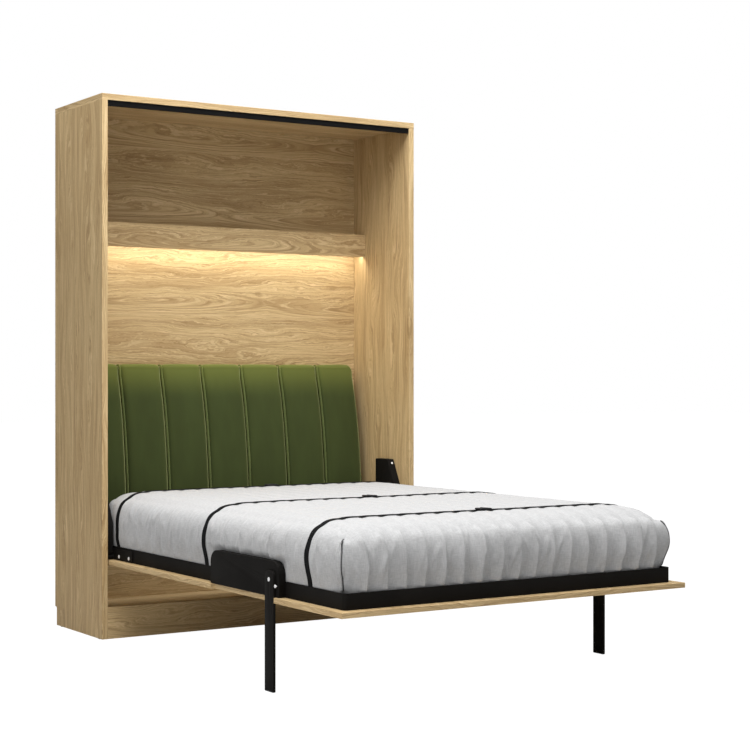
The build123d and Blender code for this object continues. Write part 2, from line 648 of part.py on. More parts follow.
def slat_places():
    """Middles of the slats along the bed."""
    first = FRONT + FRAME_FRONT + 2 * FLANGE
    last = FRONT + FRAME_REAR - 1.5 * FLANGE
    step = (last - first) / (SLAT_COUNT - 1)
    return [first + number * step for number in range(SLAT_COUNT)]


def slat_base():
    """Centre rail, wooden slats and the plastic holders at their ends."""
    rail_bottom = PANEL_TOP + STEEL
    with BuildPart() as centre:
        height = SLAT_BOTTOM - rail_bottom
        with BuildSketch(Plane.XZ.offset(-(FRONT + FRAME_REAR - STEEL))):
            with Locations((0, rail_bottom + height / 2)):
                Rectangle(FLANGE, height)
                Rectangle(FLANGE - 4, height - 4, mode=Mode.SUBTRACT)
        extrude(amount=FRAME_LENGTH - 2 * STEEL)
    save(centre, "centre_rail")

    with BuildPart() as slats:
        with BuildSketch(Plane.XY.offset(SLAT_BOTTOM)):
            with Locations(*[(0, y) for y in slat_places()]):
                Rectangle(2 * SLAT_HALF, SLAT_WIDTH)
        extrude(amount=SLAT_THICK)
    save(slats, "bed_slats")

    holder_from = FRAME_HALF - FLANGE + 1
    holder_to = 675
    with BuildPart() as holders:
        middle = (holder_from + holder_to) / 2
        with BuildSketch(Plane.XY.offset(rail_bottom)):
            with Locations(*[(side * middle, y) for side in SIDES.values() for y in slat_places()]):
                Rectangle(holder_to - holder_from, SLAT_WIDTH + 7)
        extrude(amount=MATTRESS_BOTTOM - rail_bottom)
        with BuildSketch(Plane.XY.offset(SLAT_BOTTOM)):
            with Locations(*[(0, y) for y in slat_places()]):
                Rectangle(2 * SLAT_HALF, SLAT_WIDTH)
        extrude(amount=SLAT_THICK, mode=Mode.SUBTRACT)
    save(holders, "slat_holders")


def pivot_arm(name, side):
    """Steel arm on the side rail, which turns on the pivot pin and carries the lever pin."""
    neck_top, neck_bottom = ARM_NECK
    front, rear, above, below = LEVER_END
    with BuildPart() as arm:
        with BuildSketch(wall_plane(side, FRAME_HALF)) as outline:
            with BuildLine():
                Polyline(
                    (FRONT + ARM_FRONT, ARM_BOTTOM),
                    (FRONT + ARM_FRONT, ARM_TOP),
                    (PIVOT_Y + neck_top, ARM_TOP),
                    (LEVER_Y + front, LEVER_Z + above),
                    (LEVER_Y + rear, LEVER_Z + above),
                    (LEVER_Y + rear, LEVER_Z + below),
                    (PIVOT_Y + neck_bottom, ARM_BOTTOM),
                    close=True,
                )
            make_face()
            fillet(outline.vertices().group_by(Axis.X)[0], ARM_ROUND)
            fillet(outline.vertices().group_by(Axis.X)[-1], LEVER_ROUND)
        extrude(amount=side * ARM_THICK)
        face = wall_plane(side, FRAME_HALF)
        discs(face, [(PIVOT_Y, PIVOT_Z)], PIN_RADIUS + RUNNING_GAP, side * ARM_THICK, Mode.SUBTRACT)
        discs(face, from_front(ARM_SCREWS), SCREW_RADIUS, side * ARM_THICK, Mode.SUBTRACT)
        outer = wall_plane(side, ARM_OUTER)
        pin_length = SPRING_X - EYE_WIDTH / 2 - 0.5 - ARM_OUTER
        discs(outer, [(LEVER_Y, LEVER_Z)], LEVER_PIN_RADIUS, side * pin_length)
    save(arm, name)


def leg_bracket(name, side):
    """Box-shaped steel bracket on the side rail that carries the leg, with three screw posts."""
    length = BRACKET_REAR - BRACKET_FRONT
    height = BRACKET_TOP - PANEL_TOP
    centre = (FRONT + BRACKET_FRONT + length / 2, PANEL_TOP + height / 2)
    with BuildPart() as bracket:
        with BuildSketch(wall_plane(side, FRAME_HALF)) as outline:
            with Locations(centre):
                Rectangle(length, height)
            fillet(outline.vertices().group_by(Axis.Y)[-1], BRACKET_ROUND)
        extrude(amount=side * BRACKET_DEPTH)
        with BuildSketch(wall_plane(side, FRAME_HALF)) as hollow:
            with Locations(centre):
                Rectangle(length - 2 * STEEL, height - 2 * STEEL)
            fillet(hollow.vertices().group_by(Axis.Y)[-1], BRACKET_ROUND - STEEL)
        extrude(amount=side * (BRACKET_DEPTH - STEEL), mode=Mode.SUBTRACT)
        face = wall_plane(side, FRAME_HALF)
        discs(face, from_front(BRACKET_SCREWS), 2 * SCREW_RADIUS + 1, side * (BRACKET_DEPTH - STEEL))
        discs(face, from_front(BRACKET_SCREWS), SCREW_RADIUS, side * SCREW_DEPTH, Mode.SUBTRACT)
        holes = from_front([LEG_PIVOT])
        discs(face, holes, LEVER_PIN_RADIUS, side * BRACKET_DEPTH, Mode.SUBTRACT)
        stop = from_front([STOP_BOLT])
        discs(face, stop, STOP_BOLT_RADIUS, side * BRACKET_DEPTH, Mode.SUBTRACT)
    save(bracket, name)


def bed_hardware():
    """Screws and bolts of the arms, the leg brackets, the legs and the frame."""
    with BuildPart() as arm_screws:
        for side in SIDES.values():
            outer = wall_plane(side, ARM_OUTER)
            discs(outer, from_front(ARM_SCREWS), BOLT_HEAD_RADIUS, side * ARM_SCREW_HEAD)
            discs(outer, from_front(ARM_SCREWS), SCREW_RADIUS, -side * (ARM_THICK + STEEL))
    save(arm_screws, "arm_screws")

    with BuildPart() as bracket_screws:
        for side in SIDES.values():
            inside = wall_plane(side, WEB_INNER)
            discs(inside, from_front(BRACKET_SCREWS), 2 * SCREW_RADIUS, -side * SCREW_HEAD)
            discs(inside, from_front(BRACKET_SCREWS), SCREW_RADIUS, side * (STEEL + SCREW_DEPTH))
    save(bracket_screws, "bracket_screws")

    with BuildPart() as leg_bolts:
        for side in SIDES.values():
            nut = wall_plane(side, BRACKET_FACE - STEEL)
            pivot = from_front([LEG_PIVOT])
            discs(nut, pivot, BOLT_HEAD_RADIUS, -side * LEG_NUT)
            discs(nut, pivot, LEVER_PIN_RADIUS, side * (STEEL + 1 + LEG_THICK + SCREW_HEAD))
            head = wall_plane(side, LEG_INNER + LEG_THICK + 0.5)
            discs(head, pivot, BOLT_HEAD_RADIUS, side * SCREW_HEAD)
    save(leg_bolts, "leg_pivot_bolts")

    with BuildPart() as stop_bolts:
        for side in SIDES.values():
            stop = from_front([STOP_BOLT])
            discs(wall_plane(side, BRACKET_FACE - STEEL), stop, STOP_HEAD_RADIUS, -side * STOP_NUT)
            discs(wall_plane(side, BRACKET_FACE - STEEL), stop, STOP_BOLT_RADIUS, side * (STEEL + 1))
            discs(wall_plane(side, BRACKET_FACE), stop, STOP_HEAD_RADIUS, side * STOP_BOLT_REACH)
    save(stop_bolts, "leg_stop_bolts")


def mattress():
    """Mattress with rounded edges, its three elastic straps and their buckles."""
    middle = FRONT + (MATTRESS_FRONT + MATTRESS_REAR) / 2
    with BuildPart() as pad:
        with BuildSketch(Plane.XY.offset(MATTRESS_BOTTOM)):
            with Locations((0, middle)):
                RectangleRounded(2 * MATTRESS_HALF, MATTRESS_REAR - MATTRESS_FRONT, MATTRESS_CORNER)
        extrude(amount=MATTRESS_TOP - MATTRESS_BOTTOM)
        fillet(pad.edges().group_by(Axis.Z)[-1], MATTRESS_ROUND)
    save(pad, "mattress")

    with BuildPart() as straps:
        for place in STRAP_PLACES:
            with BuildSketch(Plane.XZ.offset(-(FRONT + place + STRAP_WIDTH / 2))):
                for clear, mode in ((STRAP_GAP + STRAP_THICK, Mode.ADD), (STRAP_GAP, Mode.SUBTRACT)):
                    height = 2 * (MATTRESS_TOP + clear - MATTRESS_BOTTOM)
                    with Locations((0, MATTRESS_BOTTOM)):
                        width = 2 * (MATTRESS_HALF + clear)
                        RectangleRounded(width, height, MATTRESS_ROUND + clear, mode=mode)
                with Locations((0, STRAP_BOTTOM - 250)):
                    Rectangle(3 * MATTRESS_HALF, 500, mode=Mode.SUBTRACT)
            extrude(amount=STRAP_WIDTH)
    save(straps, "mattress_straps")

    buckle_length, buckle_width, buckle_thick = BUCKLE
    with BuildPart() as buckles:
        with BuildSketch(Plane.XY.offset(MATTRESS_TOP + STRAP_GAP + STRAP_THICK)):
            with Locations(*[(BUCKLE_X, FRONT + place) for place in STRAP_PLACES]):
                RectangleRounded(buckle_length, buckle_width, BUCKLE_ROUND)
                with Locations((-BUCKLE_SLOT_FROM_MIDDLE, 0), (BUCKLE_SLOT_FROM_MIDDLE, 0)):
                    SlotOverall(*BUCKLE_SLOT, rotation=90, mode=Mode.SUBTRACT)
        extrude(amount=buckle_thick)
    save(buckles, "strap_buckles")


def leg(suffix, side):
    """Flat steel leg and the plastic foot at its lower end."""
    with BuildPart() as bar:
        with BuildSketch(wall_plane(side, LEG_INNER)) as outline:
            with Locations((LEG_Y, (LEG_Z + LEG_ABOVE + FOOT_THICK) / 2)):
                Rectangle(LEG_WIDTH, LEG_Z + LEG_ABOVE - FOOT_THICK)
            fillet(outline.vertices().group_by(Axis.Y)[-1], LEG_ROUND)
        extrude(amount=side * LEG_THICK)
        hole = LEVER_PIN_RADIUS + RUNNING_GAP
        discs(wall_plane(side, LEG_INNER), [(LEG_Y, LEG_Z)], hole, side * LEG_THICK, Mode.SUBTRACT)
    save(bar, f"leg_{suffix}")

    with BuildPart() as foot:
        with BuildSketch(wall_plane(side, LEG_INNER)) as outline:
            with Locations((LEG_Y, FOOT_THICK / 2)):
                Rectangle(LEG_WIDTH, FOOT_THICK)
            chamfer(outline.vertices().group_by(Axis.Y)[0], FOOT_CHAMFER)
        extrude(amount=side * LEG_THICK)
    save(foot, f"leg_foot_{suffix}")


# ---------------------------------------------------------------- the whole object
top_panel()
plain_boards()
top_trim()
cabinet_fittings()
led_light()
headboard()
mechanism_hardware()
front_panel()
end_rail("foot_rail", FRAME_FRONT, 1)
end_rail("head_rail", FRAME_REAR, -1)
slat_base()
bed_hardware()
mattress()
for suffix, side in SIDES.items():
    side_panel(f"side_panel_{suffix}", side)
    mechanism_plate(f"mechanism_plate_{suffix}", side)
    mechanism_cover(f"mechanism_cover_{suffix}", side)
    pivot_pin(f"pivot_pin_{suffix}", side)
    gas_cylinder(f"gas_cylinder_{suffix}", side)
    gas_rod(f"gas_rod_{suffix}", side)
    side_rail(f"side_rail_{suffix}", side)
    pivot_arm(f"pivot_arm_{suffix}", side)
    leg_bracket(f"leg_bracket_{suffix}", side)
    leg(suffix, side)

closed_gap = (PIVOT_Y + LEVER[1] - ANCHOR_Y, PIVOT_Z - LEVER[0] - ANCHOR_Z)
print("gas spring open", SPRING_LENGTH, "closed", hypot(*closed_gap))
print("gas spring angle open", degrees(atan2(ANCHOR_Y - LEVER_Y, ANCHOR_Z - LEVER_Z)))
print("gas spring angle closed", degrees(atan2(-closed_gap[0], -closed_gap[1])))
print("bed pivot", PIVOT_Y, PIVOT_Z, "spring anchor", ANCHOR_Y, ANCHOR_Z)
print("lever pin", LEVER_Y, LEVER_Z, "leg pivot", LEG_Y, LEG_Z)
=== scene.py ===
import logging
import math
from collections import defaultdict
from dataclasses import dataclass
from enum import Enum
from typing import Callable, Sequence

import bmesh
import bpy
import numpy as np
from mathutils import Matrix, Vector, noise
from mathutils.bvhtree import BVHTree


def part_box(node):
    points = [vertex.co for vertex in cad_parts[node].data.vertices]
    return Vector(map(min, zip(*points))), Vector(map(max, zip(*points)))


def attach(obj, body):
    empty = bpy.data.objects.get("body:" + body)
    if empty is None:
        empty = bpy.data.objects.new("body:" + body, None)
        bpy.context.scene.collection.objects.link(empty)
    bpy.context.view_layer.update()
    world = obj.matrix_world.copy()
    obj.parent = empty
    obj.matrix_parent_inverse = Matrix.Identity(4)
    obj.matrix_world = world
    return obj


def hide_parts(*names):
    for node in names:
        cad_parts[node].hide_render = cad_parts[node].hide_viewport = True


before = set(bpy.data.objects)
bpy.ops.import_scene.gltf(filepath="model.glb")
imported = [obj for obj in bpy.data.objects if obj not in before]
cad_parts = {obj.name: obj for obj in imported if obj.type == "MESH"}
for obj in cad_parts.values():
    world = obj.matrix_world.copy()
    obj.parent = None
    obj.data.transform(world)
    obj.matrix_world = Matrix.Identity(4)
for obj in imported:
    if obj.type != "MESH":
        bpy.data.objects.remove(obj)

# A vertical wall bed, folded down: metres, +X right, +Y back to the wall, +Z up.
LOG = logging.getLogger("wall_bed")
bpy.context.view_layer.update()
CABINET_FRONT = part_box("side_panel_left")[0].y
SIDES = ("left", "right")
ACROSS_BED = np.array([0.0, 1.0, 0.0])
Colour = tuple[float, float, float]


# ------------------------------------------------------------------ node trees
class Tree:
    """A node tree being built, with short calls that add nodes and join them."""

    def __init__(self, tree: bpy.types.NodeTree) -> None:
        """Keep the tree that the calls add to."""
        self.tree = tree

    def add(self, kind: str, inputs: dict | None = None, **settings) -> bpy.types.Node:
        """Add one node.

        Args:
            kind: The node's Blender type.
            inputs: Its inputs, by name or number: a value, or a socket to join to.
            settings: Properties of the node itself.

        Returns:
            The new node.
        """
        node = self.tree.nodes.new(kind)
        for name, value in settings.items():
            setattr(node, name, value)
        for name, value in (inputs or {}).items():
            self.feed(node.inputs[name], value)
        return node

    def feed(self, socket: bpy.types.NodeSocket, value: object) -> None:
        """Join a socket to an input, or set the input's value."""
        if isinstance(value, bpy.types.NodeSocket):
            self.tree.links.new(value, socket)
        else:
            socket.default_value = value

    def math(self, operation: str, a: object, b: object = 0.0, c: object = 0.0) -> bpy.types.NodeSocket:
        """Add a Math node and return its value."""
        node = self.add("ShaderNodeMath", {0: a, 1: b}, operation=operation)
        if operation == "MULTIPLY_ADD":
            self.feed(node.inputs[2], c)
        return node.outputs[0]

    def mix(self, factor: object, a: object, b: object, blend: str = "MIX") -> bpy.types.NodeSocket:
        """Add a colour mix and return its colour."""
        node = self.add("ShaderNodeMix", data_type="RGBA", blend_type=blend)
        for socket, value in ((0, factor), (6, a), (7, b)):
            plain = socket > 0 and isinstance(value, tuple) and len(value) == 3
            self.feed(node.inputs[socket], (*value, 1.0) if plain else value)
        return node.outputs[2]

    def spread(self, value: object, low: float, high: float, to_low: float = 0.0,
               to_high: float = 1.0) -> bpy.types.NodeSocket:
        """Map a value smoothly from one range to another and return it."""
        inputs = {0: value, 1: low, 2: high, 3: to_low, 4: to_high}
        return self.add("ShaderNodeMapRange", inputs, interpolation_type="SMOOTHSTEP").outputs[0]

    def vector(self, x: object, y: object, z: object = 0.0) -> bpy.types.NodeSocket:
        """Join three values into a vector."""
        return self.add("ShaderNodeCombineXYZ", {0: x, 1: y, 2: z}).outputs[0]

    def noise(self, vector: object, scale: object, detail: float = 2.0,
              roughness: float = 0.5) -> bpy.types.NodeSocket:
        """Add a noise texture and return its value, about 0.5 on average."""
        inputs = {"Vector": vector, "Scale": scale, "Detail": detail, "Roughness": roughness}
        return self.add("ShaderNodeTexNoise", inputs).outputs[0]

    def stretched(self, vector: object, factors: Colour) -> bpy.types.NodeSocket:
        """Scale a vector by its own factor along each axis."""
        node = self.add("ShaderNodeVectorMath", {0: vector, 1: factors}, operation="MULTIPLY")
        return node.outputs[0]


def shader_group(name: str, inputs: dict[str, str], outputs: dict[str, str]) -> tuple[Tree, dict, object]:
    """Start a shader node group.

    Args:
        name: The group's name.
        inputs: Its inputs' names and socket kinds, such as Float.
        outputs: Its outputs' names and socket kinds.

    Returns:
        The group as a Tree, its input sockets by name, and its output node.
    """
    group = bpy.data.node_groups.new(name, "ShaderNodeTree")
    for in_out, sockets in (("INPUT", inputs), ("OUTPUT", outputs)):
        for socket, kind in sockets.items():
            group.interface.new_socket(socket, in_out=in_out, socket_type=f"NodeSocket{kind}")
    tree = Tree(group)
    entry = tree.add("NodeGroupInput")
    return tree, {socket.name: socket for socket in entry.outputs}, tree.add("NodeGroupOutput")


def oak_figure_group() -> bpy.types.NodeTree:
    """Build the figure of oak boards: growth rings with arches, streaks, pores and board joints.

    Its Vector runs along the grain in X and across it in Y.

    Returns:
        The group, which puts out masks of rings, streaks, pores and joints, a tone and a height.
    """
    inputs = {"Vector": "Vector", "Arches": "Float", "Board": "Float", "Offset": "Float", "Seed": "Float"}
    outputs = dict.fromkeys(("Rings", "Streaks", "Pores", "Joint", "Tone", "Height"), "Float")
    tree, given, result = shader_group("oak figure", inputs, outputs)
    parts = tree.add("ShaderNodeSeparateXYZ", {0: given["Vector"]}).outputs
    along, across = parts[0], parts[1]
    place = tree.math("DIVIDE", tree.math("SUBTRACT", across, given["Offset"]), given["Board"])
    cell = tree.math("FLOOR", place)
    centred = tree.math("SUBTRACT", tree.math("SUBTRACT", place, cell), 0.5)
    local = tree.math("MULTIPLY", centred, given["Board"])
    draw = tree.add("ShaderNodeTexWhiteNoise", {0: tree.vector(cell, given["Seed"])}).outputs[0]
    own_place = tree.vector(tree.math("ADD", along, draw), tree.math("ADD", across, given["Seed"]), draw)

    wander = tree.noise(tree.stretched(own_place, (1.6, 7.0, 1.0)), 1.0, 2.0)
    waver = tree.noise(tree.stretched(own_place, (9.0, 40.0, 1.0)), 1.0, 3.0, 0.6)
    shift = tree.math("MULTIPLY", tree.math("SUBTRACT", wander, 0.5), 0.10)
    swirl = tree.math("MULTIPLY_ADD", given["Arches"], 0.013, 0.008)
    shift = tree.math("MULTIPLY_ADD", tree.math("SUBTRACT", waver, 0.5), swirl, shift)
    straight = tree.math("MULTIPLY", tree.math("SUBTRACT", 1.0, given["Arches"]), 0.85)
    side_step = tree.math("MULTIPLY", tree.math("SUBTRACT", draw, 0.5), 0.16)
    width = tree.math("ADD", tree.math("ADD", local, side_step), tree.math("ADD", straight, shift))
    run = tree.math("PINGPONG", tree.math("MULTIPLY_ADD", draw, 3.7, along), 0.62)
    length = tree.math("MULTIPLY", run, 0.075)
    squares = [tree.math("POWER", part, 2.0) for part in (width, length)]
    radius = tree.math("SQRT", tree.math("ADD", squares[0], squares[1]))
    spacing = tree.math("MULTIPLY", tree.noise(tree.vector(radius, given["Seed"]), 55.0, 2.0), 2.4)
    phase = tree.math("FRACT", tree.math("ADD", tree.math("DIVIDE", radius, 0.0085), spacing))
    late = tree.spread(phase, 0.40, 0.92)
    early = tree.spread(phase, 0.92, 1.0, 1.0, 0.0)
    rings = tree.math("MULTIPLY", late, early)

    bow = tree.math("MULTIPLY_ADD", shift, 0.7, radius)
    bent = tree.vector(tree.math("ADD", along, draw), bow, given["Seed"])
    streaks = tree.noise(tree.stretched(bent, (2.6, 250.0, 1.0)), 1.0, 3.0, 0.65)
    patches = tree.noise(tree.stretched(bent, (1.1, 26.0, 1.0)), 1.0, 2.0, 0.55)
    dashes = tree.noise(tree.stretched(own_place, (26.0, 900.0, 1.0)), 1.0, 2.0, 0.7)
    pores = tree.spread(dashes, 0.56, 0.72)
    edge = tree.math("SUBTRACT", 0.5, tree.math("ABSOLUTE", centred))
    joint = tree.spread(tree.math("MULTIPLY", edge, given["Board"]), 0.0006, 0.0022, 1.0, 0.0)
    height = tree.math("MULTIPLY_ADD", streaks, 0.5, tree.math("MULTIPLY", rings, -0.35))
    height = tree.math("SUBTRACT", height, tree.math("MULTIPLY", pores, 0.5))
    tone = tree.math("MULTIPLY_ADD", tree.math("SUBTRACT", draw, 0.5), 0.10, patches)
    for name, socket in zip(outputs, (rings, streaks, pores, joint, tone, height)):
        tree.feed(result.inputs[name], socket)
    return tree.tree


def weave_group() -> bpy.types.NodeTree:
    """Build a plain weave of crossing threads, read from a flat vector in metres.

    Returns:
        The group, which puts out the weave's height and a slow unevenness of its tone.
    """
    inputs = {"Vector": "Vector", "Pitch": "Float", "Slub": "Float"}
    tree, given, result = shader_group("weave", inputs, {"Height": "Float", "Tone": "Float"})
    parts = tree.add("ShaderNodeSeparateXYZ", {0: given["Vector"]}).outputs
    uneven = tree.noise(given["Vector"], 60.0, 2.0)
    waves = []
    for axis in (0, 1):
        turn = tree.math("MULTIPLY", tree.math("DIVIDE", parts[axis], given["Pitch"]), math.pi)
        bent = tree.math("MULTIPLY_ADD", tree.math("SUBTRACT", uneven, 0.5), given["Slub"], turn)
        waves.append(tree.math("SINE", bent))
    threads = tree.math("ABSOLUTE", tree.math("MULTIPLY", waves[0], waves[1]))
    warp = tree.noise(tree.stretched(given["Vector"], (420.0, 45.0, 1.0)), 1.0, 2.0, 0.6)
    weft = tree.noise(tree.stretched(given["Vector"], (45.0, 420.0, 1.0)), 1.0, 2.0, 0.6)
    uneven_threads = tree.math("MULTIPLY_ADD", warp, 0.5, tree.math("MULTIPLY", weft, 0.5))
    tree.feed(result.inputs["Height"], tree.math("MULTIPLY_ADD", threads, 0.5, uneven_threads))
    tree.feed(result.inputs["Tone"], tree.spread(uneven_threads, 0.38, 0.62))
    return tree.tree


def speckle_group() -> bpy.types.NodeTree:
    """Build the fine grain of powder coat, moulded plastic and worn metal.

    Returns:
        The group, which puts out a fine grain, a slow cloud and scattered scuffs.
    """
    outputs = {"Grain": "Float", "Cloud": "Float", "Scuffs": "Float"}
    tree, given, result = shader_group("speckle", {"Vector": "Vector", "Scale": "Float"}, outputs)
    tree.feed(result.inputs["Grain"], tree.noise(given["Vector"], given["Scale"], 3.0, 0.6))
    tree.feed(result.inputs["Cloud"], tree.noise(given["Vector"], 7.0, 2.0))
    scratches = tree.noise(tree.stretched(given["Vector"], (20.0, 20.0, 260.0)), 1.0, 4.0, 0.7)
    tree.feed(result.inputs["Scuffs"], tree.spread(scratches, 0.6, 0.75))
    return tree.tree


class Groups:
    """The shader groups that several finishes share, each built once."""

    def __init__(self) -> None:
        """Build the groups."""
        self.oak = oak_figure_group()
        self.weave = weave_group()
        self.speckle = speckle_group()


# ------------------------------------------------------------------ finishes
class Grain(Enum):
    """Axis that a board's grain runs along."""

    ALONG_X = 0
    ALONG_Y = 1
    ALONG_Z = 2


def new_material(name: str) -> tuple[bpy.types.Material, Tree, bpy.types.Node, dict]:
    """Start a material on the Principled shader.

    Args:
        name: The material's name.

    Returns:
        The material, its tree, its Principled node and the texture coordinates by name.
    """
    material = bpy.data.materials.new(name)
    material.use_nodes = True
    shader = next(n for n in material.node_tree.nodes if n.type == "BSDF_PRINCIPLED")
    tree = Tree(material.node_tree)
    places = {socket.name: socket for socket in tree.add("ShaderNodeTexCoord").outputs}
    return material, tree, shader, places


def bump(tree: Tree, shader: bpy.types.Node, height: object, strength: float, distance: float) -> None:
    """Lead a height through a Bump node into the shader's normal."""
    inputs = {"Height": height, "Strength": strength, "Distance": distance}
    tree.feed(shader.inputs["Normal"], tree.add("ShaderNodeBump", inputs).outputs[0])


@dataclass(frozen=True)
class Oak:
    """Oak decor on board."""

    name: str
    grain: Grain
    arches: float = 0.0
    board: float = 0.36
    offset: float = 0.0
    seed: float = 0.0
    light: Colour = (0.600, 0.435, 0.222)
    dark: Colour = (0.350, 0.220, 0.094)
    fleck: Colour = (0.760, 0.590, 0.340)
    fibre: Colour = (0.240, 0.140, 0.054)

    def make(self, groups: Groups) -> bpy.types.Material:
        """Build the material from the shared oak figure."""
        material, tree, shader, places = new_material(self.name)
        parts = tree.add("ShaderNodeSeparateXYZ", {0: places["Object"]}).outputs
        axes = [axis for axis in range(3) if axis != self.grain.value]
        across = tree.math("ADD", parts[axes[0]], parts[axes[1]])
        facing = tree.add("ShaderNodeSeparateXYZ", {0: places["Normal"]}).outputs[self.grain.value]
        banded = tree.math("GREATER_THAN", tree.math("ABSOLUTE", facing), 0.7)
        vector = tree.mix(banded, tree.vector(parts[self.grain.value], across),
                          tree.vector(parts[axes[0]], parts[axes[1]]))
        inputs = {"Vector": vector, "Arches": self.arches, "Board": self.board,
                  "Offset": self.offset, "Seed": self.seed}
        figure = tree.add("ShaderNodeGroup", node_tree=groups.oak)
        for name, value in inputs.items():
            tree.feed(figure.inputs[name], value)
        masks = {socket.name: socket for socket in figure.outputs}
        band = tree.spread(masks["Tone"], 0.60, 0.40)
        colour = tree.mix(tree.math("MULTIPLY", band, 0.50), self.light, self.dark)
        blend = tree.math("MULTIPLY", masks["Rings"], 0.34 + 0.16 * self.arches)
        colour = tree.mix(blend, colour, self.dark)
        pale = tree.spread(masks["Streaks"], 0.50, 0.63)
        colour = tree.mix(tree.math("MULTIPLY", pale, 0.50), colour, self.fleck)
        brown = tree.spread(masks["Streaks"], 0.49, 0.36)
        colour = tree.mix(tree.math("MULTIPLY", brown, 0.50), colour, self.fibre)
        colour = tree.mix(tree.math("MULTIPLY", masks["Pores"], 0.40), colour, self.fibre)
        colour = tree.mix(tree.math("MULTIPLY", masks["Joint"], 0.45), colour, self.fleck)
        tree.feed(shader.inputs["Base Color"], colour)
        tree.feed(shader.inputs["Roughness"], tree.spread(masks["Streaks"], 0.2, 0.8, 0.50, 0.62))
        shader.inputs["Specular IOR Level"].default_value = 0.32
        bump(tree, shader, masks["Height"], 0.35, 0.0004)
        return material


@dataclass(frozen=True)
class Velvet:
    """Short-pile velvet."""

    name: str = "velvet green"
    pile: Colour = (0.043, 0.057, 0.016)
    shade: Colour = (0.038, 0.050, 0.014)
    sheen: Colour = (0.62, 0.66, 0.28)
    # Painted light: a lighter colour blended in towards the cushion's top, where the LED above lights it.
    painted_top_light_colour: Colour = (0.150, 0.170, 0.036)
    painted_top_light_from: float = 0.94
    painted_top_light_to: float = 1.125

    def make(self, groups: Groups) -> bpy.types.Material:
        """Build the material with a brushed pile, a bright grazing sheen and painted light that lightens it
        towards the top.
        """
        material, tree, shader, places = new_material(self.name)
        brushed = tree.noise(tree.stretched(places["Object"], (14.0, 6.0, 4.0)), 1.0, 3.0, 0.55)
        fine = tree.noise(places["Object"], 900.0, 2.0, 0.7)
        height = tree.add("ShaderNodeSeparateXYZ", {0: places["Object"]}).outputs[2]
        colour = tree.mix(tree.spread(brushed, 0.35, 0.68), self.shade, self.pile)
        # Painted light: the pile is lightened between these heights, standing for the light that falls on the
        # cushion's top.
        painted_top_light = tree.spread(height, self.painted_top_light_from, self.painted_top_light_to)
        colour = tree.mix(tree.math("MULTIPLY", painted_top_light, 0.75), colour, self.painted_top_light_colour)
        tree.feed(shader.inputs["Base Color"], colour)
        tree.feed(shader.inputs["Roughness"], tree.spread(fine, 0.3, 0.7, 0.82, 0.98))
        shader.inputs["Specular IOR Level"].default_value = 0.15
        shader.inputs["Sheen Weight"].default_value = 0.95
        shader.inputs["Sheen Roughness"].default_value = 0.38
        shader.inputs["Sheen Tint"].default_value = (*self.sheen, 1.0)
        bump(tree, shader, tree.math("MULTIPLY_ADD", fine, 0.6, brushed), 0.25, 0.0006)
        return material


@dataclass(frozen=True)
class Cloth:
    """Woven or knitted cloth read from the piece's own UV map, in metres."""

    name: str
    colour: Colour
    shade: Colour
    pitch: float = 0.0022
    slub: float = 1.2
    depth: float = 0.0005
    rough: float = 0.9
    sheen: float = 0.25
    gloss: float = 0.25

    def make(self, groups: Groups) -> bpy.types.Material:
        """Build the material from the shared weave."""
        material, tree, shader, places = new_material(self.name)
        weave = tree.add("ShaderNodeGroup", node_tree=groups.weave)
        for name, value in {"Vector": places["UV"], "Pitch": self.pitch, "Slub": self.slub}.items():
            tree.feed(weave.inputs[name], value)
        tree.feed(shader.inputs["Base Color"], tree.mix(weave.outputs["Tone"], self.shade, self.colour))
        rough = tree.spread(weave.outputs["Tone"], 0.2, 0.8, self.rough - 0.06, self.rough)
        tree.feed(shader.inputs["Roughness"], rough)
        shader.inputs["Specular IOR Level"].default_value = self.gloss
        shader.inputs["Sheen Weight"].default_value = self.sheen
        shader.inputs["Sheen Roughness"].default_value = 0.5
        bump(tree, shader, weave.outputs["Height"], 0.6, self.depth)
        return material


@dataclass(frozen=True)
class Coated:
    """Powder coat, lacquer, moulded plastic or bare metal with a fine grain."""

    name: str
    colour: Colour
    worn: Colour
    rough: float = 0.5
    metal: float = 0.0
    scale: float = 700.0
    grain: float = 0.25
    wear: float = 0.12
    coat: float = 0.0
    gloss: float = 0.5

    def make(self, groups: Groups) -> bpy.types.Material:
        """Build the material from the shared speckle."""
        material, tree, shader, places = new_material(self.name)
        speckle = tree.add("ShaderNodeGroup", node_tree=groups.speckle)
        tree.feed(speckle.inputs["Vector"], places["Object"])
        tree.feed(speckle.inputs["Scale"], self.scale)
        wear = tree.math("MULTIPLY", speckle.outputs["Scuffs"], self.wear)
        colour = tree.mix(wear, self.colour, self.worn)
        cloud = tree.spread(speckle.outputs["Cloud"], 0.3, 0.7, 0.9, 1.1)
        clouded = tree.mix(1.0, colour, tree.vector(cloud, cloud, cloud), "MULTIPLY")
        tree.feed(shader.inputs["Base Color"], clouded)
        low, high = max(self.rough - 0.07, 0.05), min(self.rough + 0.07, 1.0)
        tree.feed(shader.inputs["Roughness"], tree.spread(speckle.outputs["Grain"], 0.3, 0.7, low, high))
        shader.inputs["Metallic"].default_value = self.metal
        shader.inputs["Specular IOR Level"].default_value = self.gloss
        shader.inputs["Coat Weight"].default_value = self.coat
        shader.inputs["Coat Roughness"].default_value = 0.3
        bump(tree, shader, speckle.outputs["Grain"], self.grain, 0.0003)
        return material


